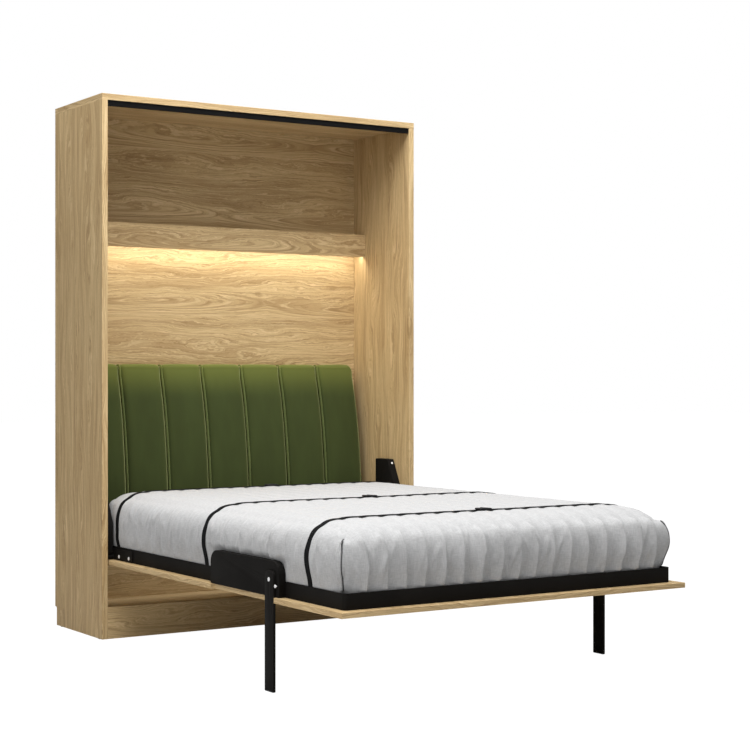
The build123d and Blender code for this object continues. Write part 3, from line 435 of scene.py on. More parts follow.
@dataclass(frozen=True)
class Glow:
    """Opal plastic lit from behind."""

    name: str = "led diffuser glow"
    colour: Colour = (1.0, 0.80, 0.48)
    strength: float = 6.0

    def make(self, groups: Groups) -> bpy.types.Material:
        """Build the material, a little brighter over each light chip."""
        material, tree, shader, places = new_material(self.name)
        along = tree.add("ShaderNodeSeparateXYZ", {0: places["Object"]}).outputs[0]
        spot = tree.math("SINE", tree.math("MULTIPLY", along, 2.0 * math.pi / LedLight.pitch))
        level = tree.spread(spot, -1.0, 1.0, 0.82, 1.0)
        colour = tree.mix(1.0, self.colour, tree.vector(level, level, level), "MULTIPLY")
        tree.feed(shader.inputs["Emission Color"], colour)
        shader.inputs["Emission Strength"].default_value = self.strength
        shader.inputs["Base Color"].default_value = (0.9, 0.86, 0.78, 1.0)
        shader.inputs["Roughness"].default_value = 0.5
        return material


class Finishes:
    """Every material of the object, made once."""

    def __init__(self) -> None:
        """Build the shared groups and the materials."""
        groups = Groups()
        back_joint = 1.315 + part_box("back_panel_lower")[0].y
        steel_black = (0.0098, 0.0090, 0.0082)
        self.upright = Oak("oak upright", Grain.ALONG_Z, 0.12, 0.55, 0.21, 3.0).make(groups)
        self.crosswise = Oak("oak crosswise", Grain.ALONG_X, 0.25, 0.41, 0.1, 7.0).make(groups)
        self.back = Oak("oak back", Grain.ALONG_X, 0.9, 0.36, back_joint, 12.0).make(groups)
        self.lip = Oak("oak lip", Grain.ALONG_X, 0.8, 0.30, 0.17, 21.0).make(groups)
        self.door = Oak("oak front panel", Grain.ALONG_Y, 0.5, 0.36, 0.05, 31.0).make(groups)
        self.velvet = Velvet().make(groups)
        # Painted highlight: the piping's velvet is about twice as light as the cushion's, standing for the
        # light that the raised piping catches.
        self.piping = Velvet("velvet piping painted highlight", (0.090, 0.116, 0.036), (0.078, 0.100, 0.031)).make(groups)
        self.cover = Cloth("mattress knit", (0.46, 0.46, 0.46), (0.365, 0.365, 0.368)).make(groups)
        # Painted shade: the near-black corner seam thread stands for the shadow in each corner seam's gap.
        self.seam = Cloth("mattress seam painted shade", (0.05, 0.05, 0.05), (0.03, 0.03, 0.03), 0.0012).make(groups)
        self.elastic = Cloth("strap elastic", (0.0075, 0.0075, 0.008), (0.004, 0.004, 0.0045), 0.0016, 0.2,
                             0.0006, 0.8, 0.0, 0.08).make(groups)
        self.steel = Coated("black powder coat", steel_black, (0.02, 0.019, 0.018), 0.55,
                            gloss=0.05).make(groups)
        self.trim = Coated("black trim", (0.007, 0.007, 0.007), (0.02, 0.02, 0.02), 0.6,
                           gloss=0.05).make(groups)
        self.plastic = Coated("black plastic", (0.010, 0.010, 0.011), (0.04, 0.04, 0.04), 0.42, scale=420.0,
                              gloss=0.2).make(groups)
        self.zinc = Coated("bright zinc", (0.62, 0.62, 0.60), (0.42, 0.40, 0.36), 0.32, 1.0).make(groups)
        self.dark_zinc = Coated("black zinc", (0.045, 0.045, 0.044), (0.10, 0.10, 0.09), 0.5, 0.6,
                                gloss=0.3).make(groups)
        self.chrome = Coated("chrome rod", (0.70, 0.70, 0.71), (0.6, 0.6, 0.6), 0.12, 1.0,
                             wear=0.03).make(groups)
        self.aluminium = Coated("anodised aluminium", (0.56, 0.56, 0.57), (0.4, 0.4, 0.4), 0.38,
                                1.0).make(groups)
        self.spring = Coated("spring lacquer", (0.012, 0.012, 0.013), (0.05, 0.05, 0.05), 0.25,
                             coat=0.5).make(groups)
        self.board = Coated("light board", (0.75, 0.74, 0.70), (0.5, 0.5, 0.5), 0.5).make(groups)
        self.birch = Oak("birch", Grain.ALONG_X, 0.0, 0.12, 0.0, 41.0, (0.72, 0.56, 0.36),
                         (0.55, 0.38, 0.2)).make(groups)
        self.core = Oak("board core", Grain.ALONG_X, 0.1, 0.5, 0.0, 51.0, (0.50, 0.38, 0.24),
                        (0.36, 0.25, 0.14)).make(groups)
        self.glow = Glow().make(groups)


# ------------------------------------------------------------------ meshes
def smoothstep(low: float, high: float, value: np.ndarray) -> np.ndarray:
    """Ease from 0 to 1 between two values, either way round."""
    share = np.clip((value - low) / (high - low), 0.0, 1.0)
    return share * share * (3.0 - 2.0 * share)


def add_object(name: str, mesh: bpy.types.Mesh) -> bpy.types.Object:
    """Put a mesh into the scene as an object at the origin."""
    piece = bpy.data.objects.new(name, mesh)
    bpy.context.scene.collection.objects.link(piece)
    return piece


def mesh_piece(name: str, vertices: np.ndarray, faces: Sequence,
               material: bpy.types.Material) -> bpy.types.Object:
    """Make a smooth piece from its points and faces, with its normals outwards.

    Args:
        name: The piece's name.
        vertices: Its points, one row each.
        faces: Its faces, as point numbers.
        material: Its finish.

    Returns:
        The new object.
    """
    mesh = bpy.data.meshes.new(name)
    mesh.from_pydata(np.asarray(vertices).tolist(), [], [list(map(int, face)) for face in faces])
    shape = bmesh.new()
    shape.from_mesh(mesh)
    bmesh.ops.recalc_face_normals(shape, faces=shape.faces)
    for face in shape.faces:
        face.smooth = True
    shape.to_mesh(mesh)
    shape.free()
    mesh.materials.append(material)
    return add_object(name, mesh)


def lay_uv(piece: bpy.types.Object) -> None:
    """Give a piece a UV map in metres, each face laid flat along its main direction."""
    mesh = piece.data
    layer = mesh.uv_layers.new(name="flat")
    points = np.array([v.co for v in mesh.vertices])
    flat = np.zeros((len(mesh.loops), 2))
    for face in mesh.polygons:
        main = int(np.argmax(np.abs(face.normal)))
        axes = [axis for axis in range(3) if axis != main]
        loops = list(face.loop_indices)
        flat[loops] = points[[mesh.loops[i].vertex_index for i in loops]][:, axes]
    layer.data.foreach_set("uv", flat.ravel())


def normals_of(piece: bpy.types.Object) -> np.ndarray:
    """Return the piece's point normals, one row each."""
    found = np.zeros(len(piece.data.vertices) * 3, np.float32)
    piece.data.vertex_normals.foreach_get("vector", found)
    return found.reshape(-1, 3).astype(float)


def points_of(piece: bpy.types.Object) -> np.ndarray:
    """Return the piece's points, one row each."""
    found = np.zeros(len(piece.data.vertices) * 3, np.float32)
    piece.data.vertices.foreach_get("co", found)
    return found.reshape(-1, 3).astype(float)


def surface_of(piece: bpy.types.Object) -> BVHTree:
    """Return the piece's surface, ready for ray casts."""
    mesh = piece.data
    return BVHTree.FromPolygons([v.co for v in mesh.vertices], [face.vertices for face in mesh.polygons])


def move_points(piece: bpy.types.Object, points: np.ndarray) -> None:
    """Put the piece's points at new places."""
    piece.data.vertices.foreach_set("co", points.astype(np.float32).ravel())
    piece.data.update()


def field_noise(points: np.ndarray, factors: Colour, seed: float) -> np.ndarray:
    """Return smooth noise from -1 to 1 at each point, stretched by a factor along each axis."""
    places = points * np.array(factors) + np.array([seed, 0.0, 0.0])
    return np.array([noise.noise(Vector(place)) for place in places])


def tube(path: np.ndarray, radius: float | np.ndarray, sides: int = 10) -> tuple[np.ndarray, list]:
    """Build a closed round tube along a path.

    Args:
        path: The points of its middle line.
        radius: Its radius, or one for each point of the path.
        sides: Points round it.

    Returns:
        Its points and faces.
    """
    ahead = np.gradient(path, axis=0)
    ahead /= np.linalg.norm(ahead, axis=1)[:, None]
    side = np.cross(ahead, np.array([0.31, 0.29, 0.905]))
    side /= np.linalg.norm(side, axis=1)[:, None]
    other = np.cross(ahead, side)
    turns = np.linspace(0.0, 2.0 * math.pi, sides, endpoint=False)
    reach = np.broadcast_to(radius, len(path))[:, None, None]
    rings = path[:, None] + reach * (np.cos(turns)[None, :, None] * side[:, None]
                                      + np.sin(turns)[None, :, None] * other[:, None])
    return rings.reshape(-1, 3), ring_faces(len(path), sides)


def ring_faces(rings: int, sides: int) -> list:
    """Return the faces that join rings of points into a closed bar."""
    faces = []
    for ring in range(rings - 1):
        for side in range(sides):
            beside = (side + 1) % sides
            start, far = ring * sides, (ring + 1) * sides
            faces.append((start + side, start + beside, far + beside, far + side))
    faces.append(tuple(range(sides))[::-1])
    faces.append(tuple(range((rings - 1) * sides, rings * sides)))
    return faces


def joined(parts: Sequence[tuple[np.ndarray, list]]) -> tuple[np.ndarray, list]:
    """Join several sets of points and faces into one."""
    points, faces, start = [], [], 0
    for some_points, some_faces in parts:
        points.append(some_points)
        faces.extend(tuple(index + start for index in face) for face in some_faces)
        start += len(some_points)
    return np.vstack(points), faces


def islands(node: str) -> list[tuple[np.ndarray, np.ndarray]]:
    """Find the separate solids of a CAD node.

    Args:
        node: The node's name.

    Returns:
        The lowest and highest corner of each solid, in the order of their places.
    """
    shape = bmesh.new()
    shape.from_mesh(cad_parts[node].data)
    bmesh.ops.remove_doubles(shape, verts=shape.verts, dist=1e-6)
    left, found = set(shape.verts), []
    while left:
        front, seen = [left.pop()], []
        while front:
            vertex = front.pop()
            seen.append(vertex.co[:])
            for edge in vertex.link_edges:
                other = edge.other_vert(vertex)
                if other in left:
                    left.remove(other)
                    front.append(other)
        found.append((np.min(seen, axis=0), np.max(seen, axis=0)))
    shape.free()
    return sorted(found, key=lambda pair: tuple(np.round(pair[0], 5)))


def finish_piece(piece: bpy.types.Object, body: str, slot: str, *nodes: str) -> bpy.types.Object:
    """Let a piece ride on its body and stand for its CAD nodes."""
    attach(piece, body)
    if nodes:
        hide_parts(*nodes)
    LOG.info("%s: %d points, on %s", piece.name, len(piece.data.vertices), body)
    return piece


def softened(node: str, name: str, width: float, material: bpy.types.Material,
             body: str, slot: str) -> bpy.types.Object:
    """Copy a CAD node with its sharp edges rounded, and let the copy stand for it.

    Args:
        node: The CAD node.
        name: The new piece's name.
        width: Width of the rounding.
        material: The piece's finish.
        body: The body it rides on.
        slot: Not used.

    Returns:
        The new piece.
    """
    shape = bmesh.new()
    shape.from_mesh(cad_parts[node].data)
    bmesh.ops.remove_doubles(shape, verts=shape.verts, dist=1e-6)
    bmesh.ops.dissolve_limit(shape, angle_limit=math.radians(2.0), verts=shape.verts, edges=shape.edges)
    mesh = bpy.data.meshes.new(name)
    shape.to_mesh(mesh)
    shape.free()
    mesh.materials.append(material)
    piece = add_object(name, mesh)
    rounding = piece.modifiers.new("rounding", "BEVEL")
    rounding.width = width
    rounding.segments = 3
    rounding.angle_limit = math.radians(50.0)
    rounding.harden_normals = True
    for face in mesh.polygons:
        face.use_smooth = True
    return finish_piece(applied(piece), body, slot, node)


def applied(piece: bpy.types.Object) -> bpy.types.Object:
    """Turn a piece's modifiers into its plain mesh and remove them."""
    evaluated = piece.evaluated_get(bpy.context.evaluated_depsgraph_get())
    mesh = bpy.data.meshes.new_from_object(evaluated)
    mesh.name = piece.name
    piece.modifiers.clear()
    piece.data = mesh
    return piece


# ------------------------------------------------------------------ Geometry Nodes
class Grower:
    """A Geometry Nodes tree with named inputs, run once on a set of places."""

    def __init__(self, name: str, inputs: dict[str, float]) -> None:
        """Start the tree with a geometry input and a number for each named size."""
        self.group = bpy.data.node_groups.new(name, "GeometryNodeTree")
        self.group.interface.new_socket("Places", in_out="INPUT", socket_type="NodeSocketGeometry")
        for size, value in inputs.items():
            socket = self.group.interface.new_socket(size, in_out="INPUT", socket_type="NodeSocketFloat")
            socket.default_value = value
        self.group.interface.new_socket("Finish", in_out="INPUT", socket_type="NodeSocketMaterial")
        self.group.interface.new_socket("Pieces", in_out="OUTPUT", socket_type="NodeSocketGeometry")
        self.tree = Tree(self.group)
        entry = self.tree.add("NodeGroupInput")
        self.given = {socket.name: socket for socket in entry.outputs}
        self.result = self.tree.add("NodeGroupOutput")

    def close(self, geometry: bpy.types.NodeSocket) -> None:
        """End the tree in Realize Instances and Set Material."""
        real = self.tree.add("GeometryNodeRealizeInstances", {0: geometry}).outputs[0]
        painted = self.tree.add("GeometryNodeSetMaterial", {0: real, "Material": self.given["Finish"]})
        self.tree.feed(self.result.inputs[0], painted.outputs[0])

    def place_on(self, instance: bpy.types.NodeSocket) -> bpy.types.NodeSocket:
        """Put an instance on every place, its Z axis along the place's own direction."""
        facing = self.tree.add("GeometryNodeInputNamedAttribute", {"Name": "facing"},
                               data_type="FLOAT_VECTOR")
        turn = self.tree.add("FunctionNodeAlignRotationToVector", {"Vector": facing.outputs[0]}, axis="Z")
        inputs = {"Points": self.given["Places"], "Instance": instance, "Rotation": turn.outputs[0]}
        return self.tree.add("GeometryNodeInstanceOnPoints", inputs).outputs[0]

    def grow(self, name: str, places: np.ndarray, facings: np.ndarray, material: bpy.types.Material,
             sizes: dict[str, float]) -> bpy.types.Object:
        """Run the tree on a set of places.

        Args:
            name: The new piece's name.
            places: Where the instances go, one row each.
            facings: The direction of each instance's Z axis.
            material: The finish.
            sizes: Values of the named inputs.

        Returns:
            The result as a plain mesh.
        """
        mesh = bpy.data.meshes.new(name)
        mesh.from_pydata(np.asarray(places).tolist(), [], [])
        facing = mesh.attributes.new("facing", "FLOAT_VECTOR", "POINT")
        facing.data.foreach_set("vector", np.asarray(facings, np.float32).ravel())
        piece = add_object(name, mesh)
        grower = piece.modifiers.new("grower", "NODES")
        grower.node_group = self.group
        values = {**sizes, "Finish": material}
        for item in self.group.interface.items_tree:
            if item.in_out == "INPUT" and item.name in values:
                grower[item.identifier] = values[item.name]
        return applied(piece)


def screw_grower() -> Grower:
    """Build the tree that makes socket screws: a domed head with a hex socket, and a shank."""
    sizes = {"Head Radius": 0.005, "Head Height": 0.002, "Shank Radius": 0.0025, "Shank Length": 0.015,
             "Socket Radius": 0.002}
    grower = Grower("socket screws", sizes)
    tree, given = grower.tree, grower.given
    head = tree.add("GeometryNodeMeshCylinder", {"Vertices": 32, "Radius": given["Head Radius"],
                                                 "Depth": tree.math("MULTIPLY", given["Head Height"], 0.6)})
    rise = tree.math("MULTIPLY", given["Head Height"], 0.3)
    lifted = tree.add("GeometryNodeTransform", {"Geometry": head.outputs["Mesh"],
                                                "Translation": tree.vector(0.0, 0.0, rise)})
    crown = tree.math("MULTIPLY", given["Head Height"], 0.4)
    dome = tree.add("GeometryNodeExtrudeMesh", {"Mesh": lifted.outputs[0], "Selection": head.outputs["Top"],
                                                "Offset Scale": crown})
    narrowed = tree.add("GeometryNodeScaleElements", {"Geometry": dome.outputs[0],
                                                      "Selection": dome.outputs["Top"], "Scale": 0.78})
    socket = tree.add("GeometryNodeMeshCylinder", {"Vertices": 6, "Radius": given["Socket Radius"],
                                                   "Depth": tree.math("MULTIPLY", given["Head Height"], 1.2)})
    up = tree.add("GeometryNodeTransform", {"Geometry": socket.outputs["Mesh"],
                                            "Translation": tree.vector(0.0, 0.0, given["Head Height"])})
    cut = tree.add("GeometryNodeMeshBoolean", operation="DIFFERENCE", solver="EXACT")
    tree.feed(cut.inputs[0], narrowed.outputs[0])
    tree.feed(cut.inputs[1], up.outputs[0])
    shank = tree.add("GeometryNodeMeshCylinder", {"Vertices": 16, "Radius": given["Shank Radius"],
                                                  "Depth": given["Shank Length"]})
    down = tree.math("MULTIPLY", given["Shank Length"], -0.5)
    sunk = tree.add("GeometryNodeTransform", {"Geometry": shank.outputs["Mesh"],
                                              "Translation": tree.vector(0.0, 0.0, down)})
    both = tree.add("GeometryNodeJoinGeometry")
    tree.feed(both.inputs[0], cut.outputs[0])
    tree.feed(both.inputs[0], sunk.outputs[0])
    grower.close(grower.place_on(both.outputs[0]))
    return grower


def bar_grower() -> Grower:
    """Build the tree that makes rounded bars, such as slats and light chips, lying along X."""
    grower = Grower("rounded bars", {"Length": 1.0, "Width": 0.05, "Thickness": 0.008, "Round": 0.002})
    tree, given = grower.tree, grower.given
    outline = tree.add("GeometryNodeCurvePrimitiveQuadrilateral",
                       {"Width": given["Width"], "Height": given["Thickness"]})
    profile = tree.add("GeometryNodeFilletCurve",
                       {"Curve": outline.outputs[0], "Radius": given["Round"], "Count": 3}, mode="POLY")
    half = tree.math("MULTIPLY", given["Length"], 0.5)
    start = tree.vector(tree.math("MULTIPLY", half, -1.0), 0.0)
    line = tree.add("GeometryNodeCurvePrimitiveLine", {"Start": start, "End": tree.vector(half, 0.0)})
    bar = tree.add("GeometryNodeCurveToMesh", {"Curve": line.outputs[0], "Profile Curve": profile.outputs[0],
                                               "Fill Caps": True})
    grower.close(grower.place_on(bar.outputs[0]))
    return grower


# ------------------------------------------------------------------ studio
@dataclass
class Studio:
    """Camera, soft lights and a pale floor."""

    eye: Colour = (-3.4405, -5.5601, 1.0516)
    azimuth: float = -32.707
    lens: float = 80.84
    floor: float = 30.0
    overhead: float = 430.0
    frontal: float = 26.0
    fill: float = 3.6
    ambient: float = 0.22
    floor_lift: float = 0.90
    floor_glow: float = 1.12

    def build(self) -> None:
        """Set up the camera, the world, the floor and the lights."""
        scene = bpy.context.scene
        scene.view_settings.view_transform = "Standard"
        camera = bpy.data.objects.new("camera", bpy.data.cameras.new("camera"))
        camera.data.lens = self.lens
        camera.location = self.eye
        camera.rotation_euler = (math.radians(90.0), 0.0, math.radians(self.azimuth))
        scene.collection.objects.link(camera)
        scene.camera = camera
        world = bpy.data.worlds.new("studio")
        world.use_nodes = True
        scene.world = world
        tree = Tree(world.node_tree)
        sky = next(n for n in world.node_tree.nodes if n.type == "BACKGROUND")
        sky.inputs["Color"].default_value = (1.0, 1.0, 1.0, 1.0)
        seen = tree.add("ShaderNodeLightPath").outputs["Is Camera Ray"]
        tree.feed(sky.inputs["Strength"], tree.math("MAXIMUM", seen, self.ambient))
        self.lay_floor()
        self.light("overhead", (-0.5, -0.7, 4.6), (0.0, -0.2, 0.3), 4.4, self.overhead)
        self.light("fill", (-1.9, -1.6, 0.35), (0.1, 0.64, 0.06), 0.9, self.fill)
        self.light("frontal", (-5.2, -3.5, 3.0), (0.0, -0.2, 0.5), 1.4, self.frontal)

    def lay_floor(self) -> None:
        """Lay the pale floor, plain and very large."""
        material, tree, shader, places = new_material("studio floor")
        cloud = tree.spread(tree.noise(places["Object"], 0.7, 2.0), 0.3, 0.7, 0.49, 0.51)
        tree.feed(shader.inputs["Base Color"], tree.vector(cloud, cloud, cloud))
        shader.inputs["Roughness"].default_value = 0.9
        glow = tree.add("ShaderNodeEmission", {"Color": (1.0, 1.0, 1.0, 1.0), "Strength": self.floor_glow})
        seen = tree.add("ShaderNodeLightPath").outputs["Is Camera Ray"]
        lift = tree.math("MULTIPLY", seen, self.floor_lift)
        mixed = tree.add("ShaderNodeMixShader", {0: lift, 1: shader.outputs[0], 2: glow.outputs[0]})
        output = next(n for n in material.node_tree.nodes if n.type == "OUTPUT_MATERIAL")
        tree.feed(output.inputs["Surface"], mixed.outputs[0])
        half = self.floor
        corners = np.array([(-half, -half, 0.0), (half, -half, 0.0), (half, half, 0.0), (-half, half, 0.0)])
        floor = mesh_piece("studio_floor", corners, [(0, 1, 2, 3)], material)

    def light(self, name: str, place: Colour, aim: Colour, size: float, power: float) -> None:
        """Hang one large square light that points at a place."""
        lamp = bpy.data.lights.new(name, "AREA")
        lamp.size = size
        lamp.energy = power
        holder = bpy.data.objects.new(name, lamp)
        holder.location = place
        holder.rotation_euler = (Vector(aim) - Vector(place)).to_track_quat("-Z", "Y").to_euler()
        bpy.context.scene.collection.objects.link(holder)


# ------------------------------------------------------------------ cabinet
@dataclass
class Cabinet:
    """The oak cabinet that the bed folds into."""

    finishes: Finishes

    def build(self) -> None:
        """Dress every board and fitting of the cabinet that keeps its CAD shape."""
        finishes = self.finishes
        dress = {
            "side_panel_left": finishes.upright, "side_panel_right": finishes.upright,
            "top_panel": finishes.crosswise, "bottom_board": finishes.crosswise,
            "plinth_board": finishes.crosswise, "shelf_board": finishes.crosswise,
            "back_panel_lower": finishes.back, "back_panel_upper": finishes.back,
            "shelf_lip": finishes.lip, "top_trim": finishes.trim, "headboard_board": finishes.core,
            "cabinet_dowels": finishes.birch, "cam_fittings": finishes.zinc,
            "floor_glides": finishes.plastic, "wall_strap": finishes.zinc,
        }
        paint(dress)


def paint(dress: dict[str, bpy.types.Material]) -> None:
    """Give CAD nodes their materials."""
    for node, material in dress.items():
        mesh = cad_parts[node].data
        mesh.materials.clear()
        mesh.materials.append(material)
        LOG.info("%s: %s", node, material.name)


@dataclass
class LedLight:
    """Light strip in its profile under the shelf."""

    finishes: Finishes
    pitch = 1.0 / 60.0
    chip: Colour = (0.005, 0.005, 0.0014)
    power: float = 2.7
    tilt: float = 26.0
    warmth: Colour = (1.0, 0.97, 0.88)

    def build(self) -> None:
        """Dress the profile, fill the strip with chips and light it."""
        paint({"led_profile": self.finishes.aluminium, "led_strip": self.finishes.board,
               "led_diffuser": self.finishes.glow})
        low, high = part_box("led_strip")
        count = int((high.x - low.x) / self.pitch)
        xs = (np.arange(count) - (count - 1) / 2.0) * self.pitch
        middle, bottom = (low.y + high.y) / 2.0, low.z - self.chip[2] / 2.0
        places = np.column_stack([xs, np.full(count, middle), np.full(count, bottom)])
        facings = np.tile((0.0, 0.0, 1.0), (count, 1))
        sizes = {"Length": self.chip[0], "Width": self.chip[1], "Thickness": self.chip[2], "Round": 0.0003}
        chips = bar_grower().grow("led_chips", places, facings, self.finishes.board, sizes)
        finish_piece(chips, "cabinet", "led_board")
        self.shine()

    def shine(self) -> None:
        """Hang the warm light just below the diffuser, tipped a little towards the back."""
        low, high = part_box("led_diffuser")
        lamp = bpy.data.lights.new("led", "AREA")
        lamp.shape = "RECTANGLE"
        lamp.size = high.x - low.x
        lamp.size_y = high.y - low.y
        lamp.energy = self.power
        lamp.color = self.warmth
        holder = bpy.data.objects.new("led", lamp)
        holder.location = ((low.x + high.x) / 2.0, (low.y + high.y) / 2.0, low.z - 0.001)
        holder.rotation_euler = (math.radians(self.tilt), 0.0, 0.0)
        bpy.context.scene.collection.objects.link(holder)


# ------------------------------------------------------------------ headboard
@dataclass
class Headboard:
    """Velvet headboard cushion with upright channels and piped seams."""

    finishes: Finishes
    channels: int = 7
    groove: float = 0.012
    slope: float = 0.028
    crevice: float = 0.014
    crevice_width: float = 0.0095
    corner: float = 0.028
    piping: float = 0.0040
    piping_depth: float = 0.0098
    columns: int = 30
    profile_points: int = 78
    turn_points: int = 9
    crown_points: int = 6
    front_knots: tuple = ((0.0, 0.0), (0.001, 0.10), (0.013, 0.22), (0.032, 0.365), (0.060, 0.507),
                          (0.090, 0.600))
    top_inset: float = 0.001
    shoulder_run: float = 0.028
    back_inset: float = 0.004
    top_fall: float = 0.014
    fullness: float = 0.0035
    pucker: float = 0.04
    unevenness: float = 0.0016
    dome: float = 0.004
    dome_rings: int = 5

    def __post_init__(self) -> None:
        """Read the cushion's place from the frame."""
        self.low, self.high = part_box("headboard_cushion")
        self.pitch = (self.high.x - self.low.x) / self.channels

    def front_curve(self) -> np.ndarray:
        """Return the side view of the cushion's front, from its bottom to its top, as depth and height."""
        low, high = self.low, self.high
        knots = np.array(self.front_knots)
        heights = np.linspace(0.0, knots[-1, 1], self.profile_points)
        curve = np.column_stack([low.y + np.interp(heights, knots[:, 1], knots[:, 0]), low.z + heights])
        for _ in range(60):
            curve[1:-1, 0] = (curve[:-2, 0] + 2.0 * curve[1:-1, 0] + curve[2:, 0]) / 4.0
        turn = np.linspace(0.0, math.pi / 2.0, self.turn_points + 1)[1:, None]
        rise = high.z - self.top_inset - curve[-1, 1]
        bend = curve[-1] + np.hstack([self.shoulder_run * (1.0 - np.cos(turn)), rise * np.sin(turn)])
        end = (high.y - self.back_inset, high.z - self.top_fall)
        back = np.linspace(bend[-1], end, self.crown_points + 1)[1:]
        return np.vstack([curve, bend, back])

    def profile(self) -> tuple[np.ndarray, np.ndarray]:
        """Return the closed side outline and how much of the seams' depth each point takes."""
        front = self.front_curve()
        bottom = np.linspace(front[-1], (self.high.y, self.low.z), 14)[1:]
        under = np.linspace((self.high.y, self.low.z), front[0], 8)[1:-1]
        outline = np.vstack([front, bottom, under])
        fading = self.crown_points
        eased = 0.55 + 0.45 * smoothstep(self.high.z - 0.002, self.high.z - 0.060, front[:-fading, 1])
        over_back = np.linspace(0.4, 0.0, len(bottom))
        share = np.concatenate([eased, np.full(fading, 0.50), over_back, np.zeros(len(under))])
        share[0] = 0.55
        return outline, share

    def inward(self, outline: np.ndarray) -> np.ndarray:
        """Return the direction into the cushion at each point of its outline."""
        ahead = np.roll(outline, -1, axis=0) - np.roll(outline, 1, axis=0)
        normal = np.column_stack([ahead[:, 1], -ahead[:, 0]])
        normal /= np.linalg.norm(normal, axis=1)[:, None]
        centre = outline.mean(axis=0)
        flip = np.sign(np.einsum("ij,ij->i", normal, centre - outline))
        return normal * flip[:, None]

    def end_depth(self, x: np.ndarray) -> np.ndarray:
        """Return how far the rounding of the cushion's two ends draws it in."""
        inside = np.clip(self.corner - np.minimum(x - self.low.x, self.high.x - x), 0.0, self.corner)
        return self.corner - np.sqrt(self.corner ** 2 - inside ** 2)

    def seam_depth(self, x: np.ndarray) -> np.ndarray:
        """Return how far the face lies below its crown at each distance across the cushion."""
        across = (x - self.low.x) / self.pitch
        from_seam = np.abs(across - np.round(across)) * self.pitch
        share = np.clip(1.0 - from_seam / self.slope, 0.0, 1.0)
        depth = self.groove * (1.0 - np.sqrt(1.0 - share ** 2))
        depth += self.crevice * np.exp(-(from_seam / self.crevice_width) ** 2)
        depth += self.fullness * (2.0 * np.clip(0.5 - from_seam / self.pitch, 0.0, 0.5)) ** 2
        from_end = np.minimum(x - self.low.x, self.high.x - x)
        crown = self.fullness * np.clip(1.0 - from_end / (self.pitch / 2.0), 0.0, 1.0) ** 2
        return np.where(from_end < self.pitch / 2.0, self.end_depth(x) + crown, depth)

    def build(self) -> None:
        """Build the cushion and the piping along its seams."""
        outline, share = self.profile()
        inward = self.inward(outline)
        steps = np.sin(np.linspace(-math.pi / 2.0, math.pi / 2.0, self.columns + 1))
        xs = [self.low.x + self.pitch * (number + 0.5 + steps / 2.0) for number in range(self.channels)]
        xs = np.unique(np.round(np.concatenate(xs), 7))
        depth = self.seam_depth(xs)
        pucker = np.array([[noise.noise(Vector((x * 9.0, z * 16.0, 3.0))) for _, z in outline] for x in xs])
        slow = np.array([[noise.noise(Vector((x * 4.0, z * 3.0, 8.0))) for _, z in outline] for x in xs])
        local = depth[:, None] * (1.0 + self.pucker * pucker) + self.unevenness * (slow + 1.0)
        moved = outline[None] + (local * share[None])[:, :, None] * inward[None]
        lowered = 1.0 - 1.5 * self.end_depth(xs)[:, None] / (self.high.z - self.low.z)
        moved[:, :, 1] = self.low.z + (moved[:, :, 1] - self.low.z) * lowered
        points = np.concatenate([np.broadcast_to(xs[:, None, None], (*moved.shape[:2], 1)), moved], axis=2)
        rings, sides = points.shape[:2]
        vertices = points.reshape(-1, 3)
        faces = [face for face in ring_faces(rings, sides) if len(face) == 4]
        vertices, faces = self.close_ends(vertices, faces, rings, sides)
        cushion = mesh_piece("headboard_cushion_velvet", vertices, faces, self.finishes.velvet)
        finish_piece(cushion, "cabinet", "velvet", "headboard_cushion")
        self.pipe(outline, share, inward)

    def close_ends(self, vertices: np.ndarray, faces: list, rings: int,
                   sides: int) -> tuple[np.ndarray, list]:
        """Close both ends with shallow domes."""
        for ring, out in ((0, -1.0), (rings - 1, 1.0)):
            edge = vertices[ring * sides:(ring + 1) * sides]
            centre = edge.mean(axis=0)
            before = ring * sides + np.arange(sides)
            for step in range(1, self.dome_rings):
                turn = step / self.dome_rings * math.pi / 2.0
                row = centre + (edge - centre) * (0.25 + 0.75 * math.cos(turn))
                row[:, 0] = edge[:, 0] + out * self.dome * math.sin(turn)
                start = len(vertices)
                vertices = np.vstack([vertices, row])
                now = start + np.arange(sides)
                for i in range(sides):
                    beside = (i + 1) % sides
                    faces.append((before[i], before[beside], now[beside], now[i]))
                before = now
            faces.append(tuple(before))
        return vertices, faces

    def pipe(self, outline: np.ndarray, share: np.ndarray, inward: np.ndarray) -> None:
        """Run a piping along every seam between two channels."""
        count = self.profile_points + self.turn_points + self.crown_points - 1
        line = outline[:count] + (self.piping_depth * share[:count])[:, None] * inward[:count]
        line[0, 1] += 0.003
        parts = []
        for number in range(1, self.channels):
            x = self.low.x + number * self.pitch
            sway = np.array([0.0003 * noise.noise(Vector((number * 7.0, z * 8.0, 0.0))) for _, z in line])
            parts.append(tube(np.column_stack([x + sway, line]), self.piping, 10))
        # The piping takes the lighter velvet, a painted highlight.
        piping = mesh_piece("headboard_piping", *joined(parts), self.finishes.piping)
        finish_piece(piping, "cabinet", "velvet")


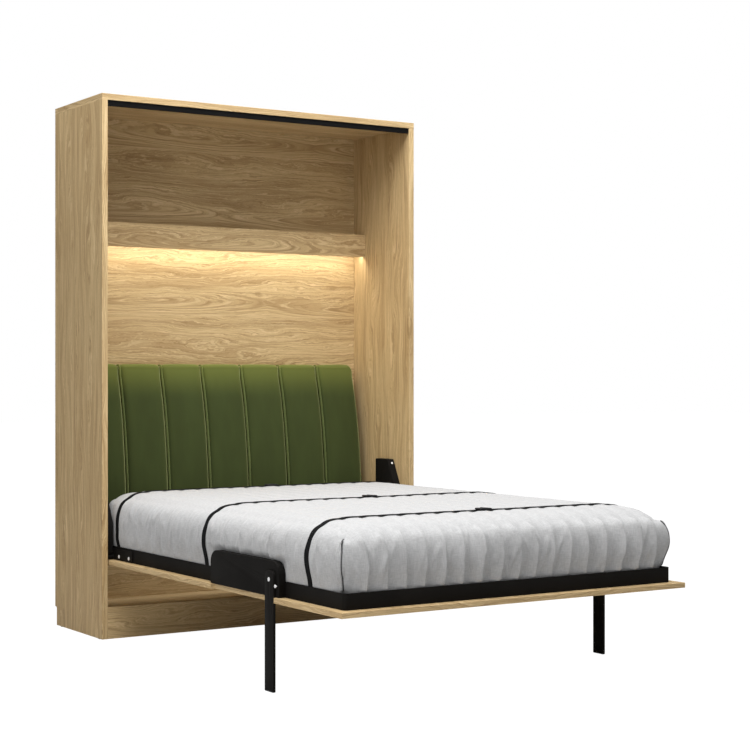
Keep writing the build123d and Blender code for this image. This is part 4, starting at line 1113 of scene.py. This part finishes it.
# ------------------------------------------------------------------ mattress
@dataclass
class Mattress:
    """Foam mattress in a knitted cover with lengthwise channels, flutes and corner seams."""

    finishes: Finishes
    bulge: float = 0.017
    head_bulge: float = 0.0095
    crown: float = 0.0075
    belt: float = 0.452
    side_power: float = 13.5
    end_power: float = 18.0
    corner_power: float = 24.0
    top_power: float = 2.2
    channel: float = 0.075
    side_channel: float = 0.104
    end_flutes: float = 0.0210
    side_flutes: float = 0.0110
    quilting: float = 0.0034
    frame_top: float = 0.371
    rail_top: float = 0.3705
    widest: float = 0.6940
    by_covers: float = 0.6835
    past_covers: float = 0.6855
    by_brackets: float = 0.6785
    past_brackets: float = 0.6795
    in_frame: float = 0.6768
    foot_reach: float = 1.7215
    inset: float = 0.0012
    welt: float = 0.0038
    welt_step: float = 0.0052
    thread: float = 0.0020
    thread_knot: float = 0.0016
    cells: tuple[int, int, int, int] = (340, 300, 12, 22)
    seam_top: float = 0.531
    corner_draw: float = 0.0070
    corner_pinch: float = 0.0055
    corner_folds: float = 0.0020
    strap_places: tuple[float, float, float] = (-1.510, -0.780, -0.012)
    bracket_top: float = 0.436

    def __post_init__(self) -> None:
        """Read the mattress's place from the frame."""
        self.low, self.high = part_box("mattress")
        self.middle = (self.low.y + self.high.y) / 2.0
        self.half_length = (self.high.y - self.low.y) / 2.0 + 0.007
        self.half_width = self.high.x + self.bulge
        self.bracket_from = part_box("leg_bracket_left")[0].y
        self.bracket_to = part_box("leg_bracket_left")[1].y

    def lattice(self) -> tuple[np.ndarray, list]:
        """Return the points and faces of the plain rounded form."""
        nx, ny, low_rows, high_rows = self.cells
        rows = low_rows + high_rows
        keys, order, faces = {}, [], []

        def number(i: int, j: int, k: int) -> int:
            """Return the number of the lattice point at a place, adding it if it is new."""
            if (i, j, k) not in keys:
                keys[(i, j, k)] = len(order)
                order.append((i, j, k))
            return keys[(i, j, k)]

        for i in range(nx):
            for j in range(ny):
                faces.append([number(i + a, j + b, rows) for a, b in ((0, 0), (1, 0), (1, 1), (0, 1))])
        for k in range(rows):
            for i in range(nx):
                for j in (0, ny):
                    faces.append([number(i + a, j, k + b) for a, b in ((0, 0), (1, 0), (1, 1), (0, 1))])
            for j in range(ny):
                for i in (0, nx):
                    faces.append([number(i, j + a, k + b) for a, b in ((0, 0), (1, 0), (1, 1), (0, 1))])
        rim = [(i, 0) for i in range(nx)] + [(nx, j) for j in range(ny)]
        rim += [(i, ny) for i in range(nx, 0, -1)] + [(0, j) for j in range(ny, 0, -1)]
        faces.append([number(i, j, 0) for i, j in rim])
        grid = np.array(order, float)
        u, w = 2.0 * grid[:, 0] / nx - 1.0, 2.0 * grid[:, 1] / ny - 1.0
        rise = np.clip((grid[:, 2] - low_rows) / high_rows, 0.0, 1.0)
        reach = self.solve(u, w, rise)
        height = self.belt + reach * rise * (self.high.z + self.crown - self.belt)
        below = np.clip(grid[:, 2] / low_rows, 0.0, 1.0)
        height = np.where(grid[:, 2] < low_rows, self.low.z + below * (self.belt - self.low.z), height)
        x = reach * u * self.half_width
        y = self.middle + reach * w * self.half_length
        return np.column_stack([x, y, height]), faces

    def solve(self, u: np.ndarray, w: np.ndarray, rise: np.ndarray) -> np.ndarray:
        """Return how far each direction reaches out to the rounded form, found by halving."""
        aside, ahead = np.abs(u) ** self.corner_power, np.abs(w) ** self.corner_power
        plan = (aside + ahead) ** (1.0 / self.corner_power)
        blend = (u ** 4 + 1e-6) / (u ** 4 + w ** 4 + 2e-6)
        power = self.side_power * blend + self.end_power * (1.0 - blend)
        low, high = np.zeros(len(u)), np.full(len(u), 1.5)
        for _ in range(40):
            reach = (low + high) / 2.0
            value = (reach * plan) ** power + (reach * rise) ** self.top_power
            low, high = np.where(value < 1.0, reach, low), np.where(value < 1.0, high, reach)
        return (low + high) / 2.0

    def slim(self, points: np.ndarray) -> np.ndarray:
        """Keep the form clear of the frame, the leg brackets and the mechanism covers."""
        x, y, z = points.T
        down = smoothstep(self.belt, self.frame_top, z)
        width = self.half_width - 0.013 * down - 0.005 * smoothstep(self.frame_top, 0.345, z)
        head = smoothstep(CABINET_FRONT - 0.46, CABINET_FRONT - 0.33, y)
        width -= head * np.maximum(width - self.by_covers, 0.0)
        beside = smoothstep(self.bracket_from - 0.07, self.bracket_from - 0.006, y)
        beside *= smoothstep(self.bracket_to + 0.07, self.bracket_to + 0.006, y)
        beside *= smoothstep(self.bracket_top + 0.018, self.bracket_top, z)
        width -= beside * np.maximum(width - self.by_brackets, 0.0)
        length = self.half_length - 0.012 * down
        return np.column_stack([x * width / self.half_width,
                                self.middle + (y - self.middle) * length / self.half_length, z])

    def wrinkles(self, across: np.ndarray, height: np.ndarray, span: tuple[float, float],
                 count: int, seed: int) -> np.ndarray:
        """Return the height of short slanted folds scattered over an upright face.

        Args:
            across: Place along the face of each point.
            height: Height of each point.
            span: Where the folds begin and end along the face.
            count: How many folds.
            seed: Seed of their places.

        Returns:
            The folds' height at each point.
        """
        draws = np.random.default_rng(seed)
        total = np.zeros(len(across))
        for _ in range(count):
            place, middle = draws.uniform(*span), draws.uniform(0.40, 0.54)
            lean, reach = draws.uniform(-0.5, 0.5), draws.uniform(0.030, 0.075)
            width, tall = draws.uniform(0.005, 0.010), draws.uniform(0.0018, 0.0052)
            off = across - place - lean * (height - middle)
            along = np.clip(1.0 - ((height - middle) / reach) ** 2, 0.0, 1.0)
            total += tall * along * np.exp(-(off / width) ** 2)
        return total

    def flutes(self, across: np.ndarray, height: np.ndarray, pitch: float, seed: float) -> np.ndarray:
        """Return upright folds with a sharp crest, a soft left flank and a steep right one."""
        places = list(zip(across, height))
        wander = np.array([noise.noise(Vector((a * 5.0 + seed, h * 6.0, seed))) for a, h in places])
        strength = np.array([noise.noise(Vector((a * 3.1, h * 5.0, seed + 9.0))) for a, h in places])
        share = (across + 0.014 * wander) / pitch
        share = share - np.round(share)
        crest = np.where(share < 0.0, np.exp(share / 0.24), np.exp(-share / 0.060))
        crease = np.exp(-((share - 0.085) / 0.045) ** 2)
        return (crest - 0.30 * crease) * np.clip(0.95 + 0.8 * strength, 0.3, 1.6)

    def relief(self, points: np.ndarray, normals: np.ndarray) -> np.ndarray:
        """Return how far each point stands above the plain form."""
        x, y, z = points.T
        top = smoothstep(0.45, 0.9, normals[:, 2])
        end = smoothstep(0.25, 0.8, np.abs(normals[:, 1])) * (1.0 - top)
        side = smoothstep(0.25, 0.8, np.abs(normals[:, 0])) * (1.0 - top)
        foot = end * (normals[:, 1] < 0)
        lower = smoothstep(0.580, 0.552, z) * smoothstep(0.352, 0.380, z)
        share = x / self.channel + 0.5
        groove = np.abs(share - np.round(share)) * 2.0
        height = -self.quilting * top * (1.0 - groove ** 1.6) ** 4
        strapped = sum(np.exp(-((y - CABINET_FRONT - place) / 0.026) ** 2) for place in self.strap_places)
        calm = 1.0 - 0.92 * np.clip(strapped, 0.0, 1.0)
        height += self.end_flutes * end * lower * self.flutes(x, z, self.channel, 2.0)
        height += self.side_flutes * side * lower * calm * self.flutes(y, z, self.side_channel, 14.0)
        height += foot * lower * self.wrinkles(x, z, (-0.62, 0.62), 80, 5)
        reach = (self.low.y + 0.1, self.high.y - 0.1)
        height += side * lower * calm * (x < 0) * self.wrinkles(y, z, reach, 150, 8)
        height += side * lower * calm * (x > 0) * self.wrinkles(y, z, reach, 150, 17)
        height += 0.0011 * field_noise(points, (3.0, 3.0, 4.0), 1.0)
        height += 0.0014 * (1.0 - top) * calm * field_noise(points, (22.0, 16.0, 15.0), 6.0)
        height += 0.0004 * top * field_noise(points, (10.0, 7.0, 9.0), 6.0)
        for place in self.strap_places:
            pinch = np.exp(-((y - CABINET_FRONT - place) / 0.017) ** 2)
            height -= pinch * (0.0003 * top + 0.0014 * side)
        return height

    def build(self) -> bpy.types.Object:
        """Build the mattress and the seams up its corners."""
        points, faces = self.lattice()
        pad = mesh_piece("mattress_cover", self.slim(points), faces, self.finishes.cover)
        plain, normals = points_of(pad), normals_of(pad)
        height = self.relief(plain, normals) - self.inset
        height = np.where(plain[:, 2] < self.low.z + 0.002, 0.0, height)
        raised = plain + normals * height[:, None]
        corner = self.corner_groove(raised)
        raised -= normals * corner[:, None]
        move_points(pad, self.fenced(raised))
        lay_uv(pad)
        finish_piece(pad, "bed", "mattress_cover", "mattress")
        self.sew_corners(pad)
        return pad

    def fenced(self, points: np.ndarray) -> np.ndarray:
        """Hold the finished surface clear of what it stands beside, and inside its room."""
        x, y, z = points.T.copy()
        limit = np.full(len(x), self.widest)
        limit = np.where(y > CABINET_FRONT - 0.335, self.past_covers, limit)
        beside = (y > self.bracket_from - 0.006) & (y < self.bracket_to + 0.006) & (z < self.bracket_top)
        limit = np.where(beside, self.past_brackets, limit)
        sunk = z < self.rail_top
        limit = np.where(sunk, self.in_frame, limit)
        y_low = np.where(sunk, CABINET_FRONT - self.foot_reach, -np.inf)
        return np.column_stack([np.clip(x, -limit, limit), np.maximum(y, y_low), z])

    def corner_line(self, height: np.ndarray, side_x: int, side_y: int) -> np.ndarray:
        """Return the plain form's corner line at the heights given."""
        one = np.ones(len(height))
        rise = np.clip((height - self.belt) / (self.high.z + self.crown - self.belt), 0.0, 0.999)
        power = (self.side_power + self.end_power) / 2.0
        reach = (1.0 - rise ** self.top_power) ** (1.0 / power) * 0.5 ** (1.0 / self.corner_power)
        corner = np.column_stack([side_x * one * reach * self.half_width,
                                  self.middle + side_y * reach * self.half_length, height])
        return self.slim(corner)

    def corner_groove(self, points: np.ndarray) -> np.ndarray:
        """Return how deep the seam at each corner pulls the cover in."""
        depth = np.zeros(len(points))
        for side_x in (-1, 1):
            for side_y in (-1, 1):
                line = self.corner_line(points[:, 2], side_x, side_y)
                off = np.linalg.norm((points - line)[:, :2], axis=1)
                up = smoothstep(self.seam_top + 0.012, self.seam_top - 0.010, points[:, 2])
                depth += self.corner_draw * up * np.exp(-(off / 0.008) ** 2)
                rise = points[:, 2] - self.seam_top
                pinch = np.hypot(off, rise)
                depth += self.corner_pinch * np.exp(-(pinch / 0.012) ** 2)
                aside = (points[:, 0] - line[:, 0]) * side_x - (points[:, 1] - line[:, 1]) * side_y
                folds = np.cos(6.0 * np.arctan2(rise, aside))
                depth += self.corner_folds * folds * (pinch / 0.03) * np.exp(-(pinch / 0.032) ** 2)
        return depth

    def sew_corners(self, pad: bpy.types.Object) -> None:
        """Lay a welt and a near-black seam thread up every corner of the cover; the thread's dark colour is
        painted shade of the seam's gap.
        """
        surface = surface_of(pad)
        welts, threads = [], []
        heights = np.linspace(0.372, self.seam_top, 40)
        for side_x in (-1, 1):
            for side_y in (-1, 1):
                line = self.corner_line(heights, side_x, side_y)
                welt, thread = [], []
                for place in line:
                    out = Vector((side_x * 0.7, side_y * 0.7, 0.0)).normalized()
                    along = Vector((side_x, -side_y, 0.0)).normalized()
                    for path, step in ((welt, self.welt_step), (thread, -0.0006)):
                        start = Vector(place) + out * 0.05 + along * step
                        hit = surface.ray_cast(start, -out)[0]
                        path.append(np.array(hit if hit else Vector(place)) + 0.0004 * np.array(out))
                welts.append(tube(np.array(welt), self.welt, 10))
                knot = smoothstep(self.seam_top - 0.022, self.seam_top - 0.006, heights)
                threads.append(tube(np.array(thread), self.thread + self.thread_knot * knot, 8))
        welt_piece = mesh_piece("mattress_corner_welts", *joined(welts), self.finishes.cover)
        lay_uv(welt_piece)
        finish_piece(welt_piece, "bed", "mattress_cover")
        seam_shade_piece = mesh_piece("mattress_corner_seam_shade", *joined(threads), self.finishes.seam)
        lay_uv(seam_shade_piece)
        finish_piece(seam_shade_piece, "bed", "strap_elastic")


@dataclass
class Straps:
    """Elastic straps round the mattress, with a ladder buckle on each."""

    finishes: Finishes
    width: float = 0.027
    thick: float = 0.0019
    clear: float = 0.0004
    taut: float = 0.75
    places: tuple[float, float, float] = Mattress.strap_places
    buckle: Colour = (0.058, 0.038, 0.0058)
    slot: float = 0.016
    rung: float = 0.0030
    rung_rise: float = 0.0014
    squareness: float = 0.22

    def build(self, pad: bpy.types.Object) -> None:
        """Lay the straps on the finished mattress and put the buckles on them."""
        surface = surface_of(pad)
        low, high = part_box("mattress_straps")
        bands, buckles = [], []
        buckle_x = sum((pair[0][0] + pair[1][0]) / 2.0 for pair in islands("strap_buckles")) / 3.0
        for place in self.places:
            y = CABINET_FRONT + place
            path, outward = self.path(surface, y, low.z)
            bands.append(self.band(path, outward))
            nearest = int(np.argmin(np.abs(path[:, 0] - buckle_x) + (path[:, 2] < 0.5)))
            buckles.append(self.ladder(path[nearest], outward[nearest]))
        straps = mesh_piece("mattress_strap_bands", *joined(bands), self.finishes.elastic)
        lay_uv(straps)
        finish_piece(straps, "bed", "strap_elastic", "mattress_straps")
        piece = mesh_piece("strap_ladder_buckles", *joined(buckles), self.finishes.plastic)
        finish_piece(piece, "bed", "black_plastic", "strap_buckles")

    def path(self, surface: BVHTree, y: float, bottom: float) -> tuple[np.ndarray, np.ndarray]:
        """Trace a strap's middle line over the mattress, taut across the hollows of its top.

        Args:
            surface: The mattress, ready for ray casts.
            y: The strap's place along the bed.
            bottom: Height of its two ends.

        Returns:
            The points of the line and the outward direction at each.
        """
        heights = np.linspace(bottom, 0.50, 40)
        left = [self.reached(surface, (-1.0, y, z), (1.0, 0.0, 0.0)) for z in heights]
        over = [self.reached(surface, (x, y, 1.0), (0.0, 0.0, -1.0)) for x in np.linspace(-0.672, 0.672, 449)]
        right = [self.reached(surface, (1.0, y, z), (-1.0, 0.0, 0.0)) for z in heights[::-1]]
        top = np.array([point for point in over if point is not None])
        crest = np.array([top[max(0, i - 11):i + 12, 2].max() for i in range(len(top))])
        crest = np.convolve(np.pad(crest, 8, mode="edge"), np.ones(17) / 17.0, mode="valid")
        flat = smoothstep(0.60, 0.52, np.abs(top[:, 0]))
        top[:, 2] = np.maximum(top[:, 2], top[:, 2] + flat * self.taut * (crest - top[:, 2]))
        found = np.array([point for point in left if point is not None] + list(top)
                         + [point for point in right if point is not None])
        kept = [found[0]]
        for point in found[1:]:
            if np.linalg.norm(point - kept[-1]) > 0.003:
                kept.append(point)
        path = np.array(kept)
        for _ in range(3):
            path[1:-1] = 0.25 * path[:-2] + 0.5 * path[1:-1] + 0.25 * path[2:]
        ahead = np.gradient(path, axis=0)
        outward = np.column_stack([-ahead[:, 2], np.zeros(len(path)), ahead[:, 0]])
        outward /= np.linalg.norm(outward, axis=1)[:, None]
        return path + self.clear * outward, outward

    def reached(self, surface: BVHTree, start: Colour, direction: Colour) -> np.ndarray | None:
        """Return the outermost place that the strap's width meets along a ray, on its middle line."""
        ray, best = Vector(direction), None
        for step in (-0.45, 0.0, 0.45):
            place = Vector(start) + Vector((0.0, step * self.width, 0.0))
            hit, _, _, distance = surface.ray_cast(place, ray)
            if hit is not None and (best is None or distance < best):
                best = distance
        return None if best is None else np.array(Vector(start) + ray * best)

    def band(self, path: np.ndarray, outward: np.ndarray) -> tuple[np.ndarray, list]:
        """Sweep the strap's rounded section along its line."""
        half, deep = self.width / 2.0, self.thick
        section = [(-half, 0.0), (-half, 0.6 * deep), (-0.92 * half, deep), (-0.80 * half, 0.86 * deep),
                   (0.0, deep), (0.80 * half, 0.86 * deep), (0.92 * half, deep), (half, 0.6 * deep),
                   (half, 0.0), (0.0, -0.2 * deep)]
        rings = [path + a * ACROSS_BED + b * outward for a, b in section]
        points = np.stack(rings, axis=1).reshape(-1, 3)
        return points, ring_faces(len(path), len(section))

    def ladder(self, place: np.ndarray, outward: np.ndarray) -> tuple[np.ndarray, list]:
        """Build one ladder buckle: a rounded frame with a raised bar across its middle."""
        long, wide, deep = self.buckle
        along = np.array([outward[2], 0.0, -outward[0]])
        base = place + outward * (self.thick + 0.5 * deep)
        turns = np.linspace(0.0, 2.0 * math.pi, 48)

        def rounded(turn: float) -> tuple[float, float]:
            """Return a point of the frame's rounded outline."""
            c, s = math.cos(turn), math.sin(turn)
            power = 1.0 / self.squareness
            reach = (abs(c) ** power + abs(s) ** power) ** -self.squareness
            return reach * c * (long / 2.0 - deep / 2.0), reach * s * (wide / 2.0 - deep / 2.0)

        loop = np.array([base + rounded(t)[0] * along + rounded(t)[1] * ACROSS_BED for t in turns])
        parts = [tube(loop, deep / 2.0, 8)]
        for offset, rise in ((0.0, self.rung_rise), (-self.slot, 0.0), (self.slot, 0.0)):
            ends = np.linspace(-(wide - deep) / 2.0, (wide - deep) / 2.0, 6)
            bar = np.array([base + offset * along + s * ACROSS_BED + rise * outward for s in ends])
            parts.append(tube(bar, self.rung, 8))
        return joined(parts)


# ------------------------------------------------------------------ steel and slats
@dataclass
class Bed:
    """Front panel, steel frame and slats of the folding bed."""

    finishes: Finishes
    slat_round: float = 0.0025

    def build(self) -> None:
        """Dress the frame and grow the slats."""
        finishes = self.finishes
        paint({"front_panel": finishes.door, "centre_rail": finishes.steel, "slat_holders": finishes.plastic,
               "foot_rail": finishes.steel, "head_rail": finishes.steel,
               "side_rail_left": finishes.steel, "side_rail_right": finishes.steel})
        slats = islands("bed_slats")
        places = np.array([(low + high) / 2.0 for low, high in slats])
        low, high = slats[0]
        size = high - low
        facings = np.tile((0.0, 0.0, 1.0), (len(slats), 1))
        sizes = {"Length": float(size[0]), "Width": float(size[1]), "Thickness": float(size[2]),
                 "Round": self.slat_round}
        piece = bar_grower().grow("sprung_slats", places, facings, finishes.birch, sizes)
        finish_piece(piece, "bed", "birch", "bed_slats")


@dataclass
class Mechanism:
    """Covers, plates, arms, pins and gas springs at both sides."""

    finishes: Finishes
    cover_round: float = 0.0042

    def build(self) -> None:
        """Round the covers and dress what moves inside them."""
        finishes = self.finishes
        for side in SIDES:
            softened(f"mechanism_cover_{side}", f"spring_cover_{side}", self.cover_round, finishes.steel,
                     "cabinet", "black_steel")
            paint({f"mechanism_plate_{side}": finishes.steel, f"pivot_arm_{side}": finishes.steel,
                   f"pivot_pin_{side}": finishes.zinc, f"gas_cylinder_{side}": finishes.spring,
                   f"gas_rod_{side}": finishes.chrome})
        paint({"pivot_bushes": finishes.plastic})


@dataclass
class Legs:
    """Folding legs and the brackets that carry them."""

    finishes: Finishes
    bracket_round: float = 0.0022
    leg_round: float = 0.0014

    def build(self) -> None:
        """Round the brackets and legs and dress their feet."""
        for side in SIDES:
            softened(f"leg_bracket_{side}", f"leg_carrier_{side}", self.bracket_round, self.finishes.steel,
                     "bed", "black_steel")
            softened(f"leg_{side}", f"leg_bar_{side}", self.leg_round, self.finishes.steel,
                     f"leg_{side}", "black_steel")
            paint({f"leg_foot_{side}": self.finishes.plastic})


@dataclass
class Hardware:
    """Screws and bolts, each node's group grown on the places of its CAD solids."""

    finishes: Finishes
    cover_rise: float = 0.214
    cover_run: float = 0.105
    cover_screw: float = 0.011
    shank: float = 0.0024

    def build(self) -> None:
        """Grow every group of screws, one mesh for each body."""
        grower = screw_grower()
        outward: Callable = lambda middle: (math.copysign(1.0, middle[0]), 0.0, 0.0)
        inward: Callable = lambda middle: (-math.copysign(1.0, middle[0]), 0.0, 0.0)
        back: Callable = lambda middle: (0.0, 1.0, 0.0)
        groups = (("back_screws", "rear_panel_screws", "cabinet", back, 0.002, 0.005),
                  ("arm_screws", "arm_socket_screws", "bed", outward, 0.0015, 0.007),
                  ("bracket_screws", "bracket_socket_screws", "bed", inward, 0.002, 0.005),
                  ("leg_pivot_bolts", "leg_pivot_socket_bolts", "bed", outward, 0.002, 0.007),
                  ("leg_stop_bolts", "leg_stop_socket_bolts", "bed", outward, 0.003, 0.0055),
                  ("mechanism_screws", "mechanism_socket_screws", "cabinet", inward, 0.002, 0.005))
        for group in groups:
            self.group(grower, *group)

    def group(self, grower: Grower, node: str, name: str, body: str, facing: Callable,
              head: float, radius: float) -> None:
        """Grow one node's screws.

        Args:
            grower: The screw tree.
            node: The CAD node that they stand for.
            name: The new piece's name.
            body: The body that they ride on.
            facing: Gives the direction of a screw's head from its middle.
            head: Height of the heads.
            radius: Radius of the heads.
        """
        solids = islands(node)
        lengths = defaultdict(list)
        for low, high in solids:
            middle, size = (low + high) / 2.0, high - low
            direction = np.array(facing(middle))
            slanted = np.sort(size)[1] > 2.2 * radius
            if slanted:
                direction = self.cover_slope()
            length = float(np.abs(size * direction).sum()) if not slanted else self.cover_screw
            tip = middle + direction * (length / 2.0 - head)
            lengths[round(length, 4)].append((tip, direction))
        parts = []
        for length, found in lengths.items():
            sizes = {"Head Radius": radius, "Head Height": head, "Shank Radius": self.shank,
                     "Shank Length": length - head, "Socket Radius": radius * 0.5}
            places = np.array([place for place, _ in found])
            facings = np.array([direction for _, direction in found])
            parts.append(grower.grow(f"{name}_{length}", places, facings, self.finishes.dark_zinc, sizes))
        finish_piece(merged(name, parts), body, "bright_steel", node)

    def cover_slope(self) -> np.ndarray:
        """Return the direction that the covers' sloping front faces."""
        slope = np.array([0.0, -self.cover_rise, self.cover_run])
        return slope / np.linalg.norm(slope)


def merged(name: str, pieces: Sequence[bpy.types.Object]) -> bpy.types.Object:
    """Join several pieces of one material into one object with a new name."""
    shape = bmesh.new()
    for piece in pieces:
        shape.from_mesh(piece.data)
    mesh = bpy.data.meshes.new(name)
    shape.to_mesh(mesh)
    shape.free()
    mesh.materials.append(pieces[0].data.materials[0])
    for piece in pieces:
        bpy.data.objects.remove(piece)
    return add_object(name, mesh)


def main() -> None:
    """Build the studio and the whole object."""
    logging.basicConfig(level=logging.INFO, format="%(name)s: %(message)s")
    Studio().build()
    finishes = Finishes()
    Cabinet(finishes).build()
    LedLight(finishes).build()
    Headboard(finishes).build()
    Bed(finishes).build()
    pad = Mattress(finishes).build()
    Straps(finishes).build(pad)
    Mechanism(finishes).build()
    Legs(finishes).build()
    Hardware(finishes).build()


if __name__ == "__main__":
    main()
